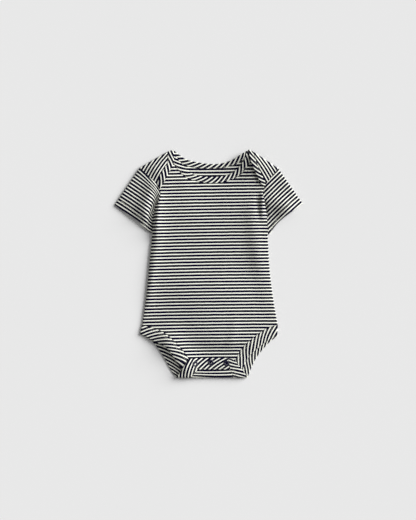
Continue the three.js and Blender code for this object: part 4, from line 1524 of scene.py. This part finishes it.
@dataclass
class Neck:
    """The strip along the laps and the back neck, and the strip along the front neck."""

    front_stripes: BiasStripes = BiasStripes(100.5, 5.6, slant=-34.9, pitch=5.88, phase=0.134, drift=-0.08)
    back_stripes: BiasStripes = BiasStripes(79.8, 5.1, slant=-35.3, pitch=6.87, phase=0.219, drift=-0.1,
                                            twist=0.31, sway=-0.21)
    left_lap_stripes: BiasStripes = BiasStripes(36.0, 5.5, slant=41.4, pitch=4.98, phase=0.989, drift=-1.18,
                                                twist=0.7, sway=-4.58)
    right_lap_stripes: BiasStripes = BiasStripes(23.0, 4.0, slant=35.5, pitch=5.77, phase=0.07, drift=0.52,
                                                 twist=0.51, sway=0.72)
    front_cut: Cut = Cut(width=0.0115, length=0.178, area=0.00204)
    back_cut: Cut = Cut(width=0.0103, length=0.279, area=0.00286)

    def strips(self) -> list[Strip]:
        """Both strips."""
        shoulder = Turn((LAP_BAND_LEVEL + BACK_BAND_LEVEL) / 2, SHOULDER_FOLD.bend)
        left, right = SIDES[Side.LEFT], SIDES[Side.RIGHT]
        back_lines = (Line(places).sampled(NECK_STEPS, SHOULDER_FOLD, SHOULDER_FOLD)
                      for places in (BACK_NECK, BACK_NECK_FREE))
        front_lines = (Line(places).sampled(NECK_STEPS) for places in (FRONT_NECK, FRONT_NECK_FREE))
        back = [
            Run(left.lap, left.lap_free, lap_band_level, self.left_lap_stripes, end=shoulder),
            Run(*back_lines, at_level(BACK_BAND_LEVEL), self.back_stripes, start=shoulder, end=shoulder),
            Run(right.lap[::-1], right.lap_free[::-1], lap_band_level, self.right_lap_stripes,
                start=shoulder),
        ]
        front = [Run(*front_lines, front_band_level, self.front_stripes)]
        return [
            Strip("neck_band_back", "neck_binding_back", back, self.back_cut, "folded", ["back", "front"]),
            Strip("neck_band_front", "neck_binding_front", front, self.front_cut, "laid", ["back"]),
        ]


@dataclass
class Crotch:
    """The strips across the ends of the flap and of the front, which the snaps join."""

    flap_stripes: PlanStripes = PlanStripes(x=5.0, y=-170.0, angle=36.9, pitch=5.44, phase=0.825, bow=8.0,
                                            fan=6.0)
    front_stripes: PlanStripes = PlanStripes(x=5.0, y=-172.0, angle=41.0, pitch=5.5, phase=0.2)
    flap_cut: Cut = Cut(width=0.0556, length=0.0209, area=0.00116)
    front_cut: Cut = Cut(width=0.0724, length=0.0186, area=0.00134)
    dome: float = 0.45
    dome_radius: float = 2.0
    dimple: float = 0.35
    dimple_radius: float = 6.5

    def flap_level(self, plan: np.ndarray) -> np.ndarray:
        """Height of the flap's end: each snap presses a shallow dimple and domes the cloth in its ring."""
        height = np.full(plan.shape[:-1], FLAP_LEVEL)
        for x, y in SNAPS:
            away = np.hypot(plan[..., 0] - x, plan[..., 1] - y)
            height = height - self.dimple * np.exp(-((away / self.dimple_radius) ** 2))
            height = height + (self.dome + self.dimple) * np.exp(-((away / self.dome_radius) ** 4))
        return height

    def band(self, seam_ends: Places, free_ends: Places, level: Level, stripes: PlanStripes) -> Run:
        """A run across the crotch.

        Args:
            seam_ends: The seam line's ends.
            free_ends: The free edge's ends.
            level: Height of the strip's middle.
            stripes: Its stripes.

        Returns:
            The run.
        """
        seam, free = (Line(ends).sampled(END_BAND_STEPS, CUT, CUT) for ends in (seam_ends, free_ends))
        return Run(seam, free, level, stripes, columns=END_BAND_COLUMNS)

    def strips(self) -> list[Strip]:
        """Both strips."""
        left, right = LEFT_PLAN, RIGHT_PLAN
        flap = self.band((left.flap_corner[0], right.flap_corner[0]),
                         (left.flap_corner[-1], right.flap_corner[-1]), self.flap_level, self.flap_stripes)
        front = self.band((left.front_end[-1], right.front_end[-1]), (left.front_end[0], right.front_end[0]),
                          at_level(FRONT_BAND_LEVEL), self.front_stripes)
        return [
            Strip("flap_end_band", "flap_end_binding", [flap], self.flap_cut, "laid", ["front"]),
            Strip("front_end_band", "front_end_binding", [front], self.front_cut, "laid", ["back"]),
        ]


@dataclass
class Snap:
    """A snap: the open prong ring on the flap, and the stud under it."""

    number: int
    place: Place
    outer: float = 9.0
    inner: float = 4.6
    height: float = 0.9
    prongs: int = 10
    dent: float = 0.12
    sides: int = 80
    section: int = 20
    stud_width: float = 8.4

    def turned(self, name: str, radius: np.ndarray, height: np.ndarray, closed: bool) -> bpy.types.Object:
        """A form turned round the snap's axis from its section.

        Args:
            name: The object's name.
            radius: Radius at each section point and turn, as (sides, section).
            height: Height there.
            closed: Whether the section is a closed loop, and not one that ends on the axis.

        Returns:
            The object.
        """
        turn = circle(self.sides)[:, None]
        plan = np.stack([self.place[0] + radius * np.cos(turn), self.place[1] + radius * np.sin(turn)], -1)
        points = raised(plan, np.broadcast_to(height, radius.shape))
        ids = np.arange(radius.size).reshape(radius.shape)
        beside = np.roll(ids, -1, axis=0)
        span = slice(None) if closed else slice(None, -1)
        above, beside_above = np.roll(ids, -1, axis=1), np.roll(beside, -1, axis=1)
        flat = points.reshape(-1, 3)
        kept, triangles = welded(flat, quads(*(grid[:, span] for grid in (ids, beside, beside_above, above))))
        return write_mesh(name, flat[kept], triangles)

    def ring(self) -> bpy.types.Object:
        """The ring: an oval section, with shallow dents where the prongs turn over."""
        top = FLAP_LEVEL + BINDING / 2 + SEAM + self.height / 2
        turn = circle(self.sides)[:, None]
        section = circle(self.section)[None, :]
        dent = 1.0 - self.dent * np.clip(np.cos(self.prongs * turn), 0.0, 1.0) ** 4
        radius = (self.outer + self.inner) / 4 + (self.outer - self.inner) / 4 * np.cos(section)
        radius = np.broadcast_to(radius, (self.sides, self.section))
        height = top + self.height / 2 * np.sin(section) * dent
        return self.turned(f"snap_{self.number}_ring", radius, height, True)

    def stud(self) -> bpy.types.Object:
        """The stud: a flange with a rounded edge, a step and a low cap with a dimple."""
        bottom = FRONT_BAND_LEVEL + BINDING / 2 + SEAM
        radius = np.broadcast_to(STUD_RADII * self.stud_width / 2, (self.sides, len(STUD_RADII)))
        return self.turned(f"snap_{self.number}_stud", radius, bottom + STUD_HEIGHTS[None], False)

    def build(self, wardrobe: Wardrobe) -> None:
        """Makes the ring and the stud.

        Args:
            wardrobe: The garment's materials.
        """
        dress(self.ring(), wardrobe.ring, "snap_ring", f"snap_ring_{self.number}")
        dress(self.stud(), wardrobe.stud, "snap_stud", f"snap_stud_{self.number}")


@dataclass
class Studio:
    """A pale floor, soft light from the upper right, and a camera that looks straight down."""

    floor_colour: Colour = (0.74, 0.74, 0.74, 1.0)
    floor_size: float = 12.0
    floor_gap: float = 0.0002
    centre: Place = (-0.0011, 0.0064)
    frame_height: float = 0.884
    lens: float = 85.0
    sensor: float = 36.0
    target_height: float = 0.004
    sky: float = 0.32
    sky_colour: Colour = (1.0, 1.0, 1.0, 1.0)
    key_power: float = 5.34
    key_spread: float = 38.0
    key_elevation: float = 27.0
    key_azimuth: float = 28.0

    def build(self) -> None:
        """Makes the floor, the lights and the camera."""
        self.floor()
        self.key()
        world = bpy.data.worlds.new("sky")
        world.use_nodes = True
        background = world.node_tree.nodes["Background"]
        background.inputs["Color"].default_value = self.sky_colour
        background.inputs["Strength"].default_value = self.sky
        scene = bpy.context.scene
        scene.world = world
        scene.view_settings.view_transform = "Standard"
        scene.view_settings.look = "None"
        camera = bpy.data.cameras.new("camera")
        camera.lens, camera.sensor_width = self.lens, self.sensor
        distance = self.frame_height / self.sensor * self.lens
        holder = bpy.data.objects.new("camera", camera)
        holder.location = (*self.centre, self.target_height + distance)
        scene.collection.objects.link(holder)
        scene.camera = holder

    def floor(self) -> None:
        """Makes the floor just under the garment."""
        half = self.floor_size / 2 / MM
        level = -self.floor_gap / MM
        corners = np.array([[x * half, y * half, level] for x, y in ((-1, -1), (1, -1), (1, 1), (-1, 1))])
        floor = write_mesh("floor", corners, np.array([[0, 1, 2], [0, 2, 3]]))
        floor.data.materials.append(PaleFloor("floor", self.floor_colour).material())

    def key(self) -> None:
        """A broad, far light, turned from pointing down to its elevation and azimuth."""
        lamp = bpy.data.lights.new("key", "SUN")
        lamp.energy = self.key_power
        lamp.angle = np.radians(self.key_spread)
        holder = bpy.data.objects.new("key", lamp)
        tilt = np.pi / 2 - np.radians(self.key_elevation)
        holder.rotation_euler = (0.0, tilt, np.radians(self.key_azimuth))
        bpy.context.scene.collection.objects.link(holder)


JERSEY_FINISH = StripedJersey("striped_jersey", (0.93, 0.945, 0.835, 1.0), (0.004, 0.003, 0.017, 1.0))
THREAD_FINISH = Thread("thread", (0.72, 0.72, 0.64, 1.0))
RING_FINISH = SnapFinish("navy_enamel", (0.006, 0.005, 0.026, 1.0), (0.02, 0.018, 0.06, 1.0),
                         metallic=0.0, roughness=0.45, coat=0.25)
STUD_FINISH = SnapFinish("plated_metal", (0.6, 0.61, 0.63, 1.0), (0.4, 0.4, 0.41, 1.0),
                         metallic=1.0, roughness=0.32, coat=0.0)

LEFT_SLEEVE = Sleeve(
    Side.LEFT,
    PlanStripes(x=-116.4, y=108.9, angle=-35.07, pitch=5.5, phase=0.973, bow=1.17, fan=1.63),
    LEFT_SLEEVE_CREASES,
    Cut(width=0.252, length=0.076, area=0.0095),
    dip=14.0,
)
RIGHT_SLEEVE = Sleeve(
    Side.RIGHT,
    PlanStripes(x=119.6, y=109.5, angle=43.9, pitch=5.42, phase=0.651, bow=1.17, fan=-1.65),
    RIGHT_SLEEVE_CREASES,
    Cut(width=0.242, length=0.073, area=0.0080),
)
LEFT_LEG = LegBinding(
    Side.LEFT,
    BiasStripes(59.4, 9.8, slant=-41.4, pitch=6.56, phase=0.549, drift=-0.33, twist=0.25, sway=0.51),
    BiasStripes(60.9, 9.9, slant=30.8, pitch=6.02, phase=0.848, drift=-0.59),
    PlanStripes(x=-42.0, y=-177.0, angle=72.14, pitch=5.336, phase=0.863, bow=16.7, fan=5.2),
    Cut(width=0.020, length=0.257, area=0.00513),
)
RIGHT_LEG = LegBinding(
    Side.RIGHT,
    BiasStripes(56.7, 9.7, slant=35.1, pitch=5.75, phase=0.182, drift=0.55, twist=-0.5, sway=-0.38),
    BiasStripes(58.9, 9.8, slant=-25.6, pitch=5.74, phase=0.732, drift=-0.72, twist=0.49, sway=-0.64),
    BiasStripes(13.1, 9.9, slant=73.4, pitch=5.78, phase=0.731, drift=-3.07, twist=-0.11, sway=2.88),
    Cut(width=0.019, length=0.238, area=0.00447),
)


def main() -> None:
    """Builds the studio and the garment."""
    logging.basicConfig(level=logging.INFO, format="%(message)s")
    Studio().build()
    finishes = (JERSEY_FINISH, THREAD_FINISH, RING_FINISH, STUD_FINISH)
    wardrobe = Wardrobe(*(finish.material() for finish in finishes))
    strips = [LEFT_LEG.strip(), RIGHT_LEG.strip(), *Neck().strips(), *Crotch().strips()]
    snaps = [Snap(number, place) for number, place in enumerate(SNAPS, start=1)]
    for part in (BodyPanels(), LEFT_SLEEVE, RIGHT_SLEEVE, *strips, *snaps):
        part.build(wardrobe)
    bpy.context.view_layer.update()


if __name__ == "__main__":
    main()
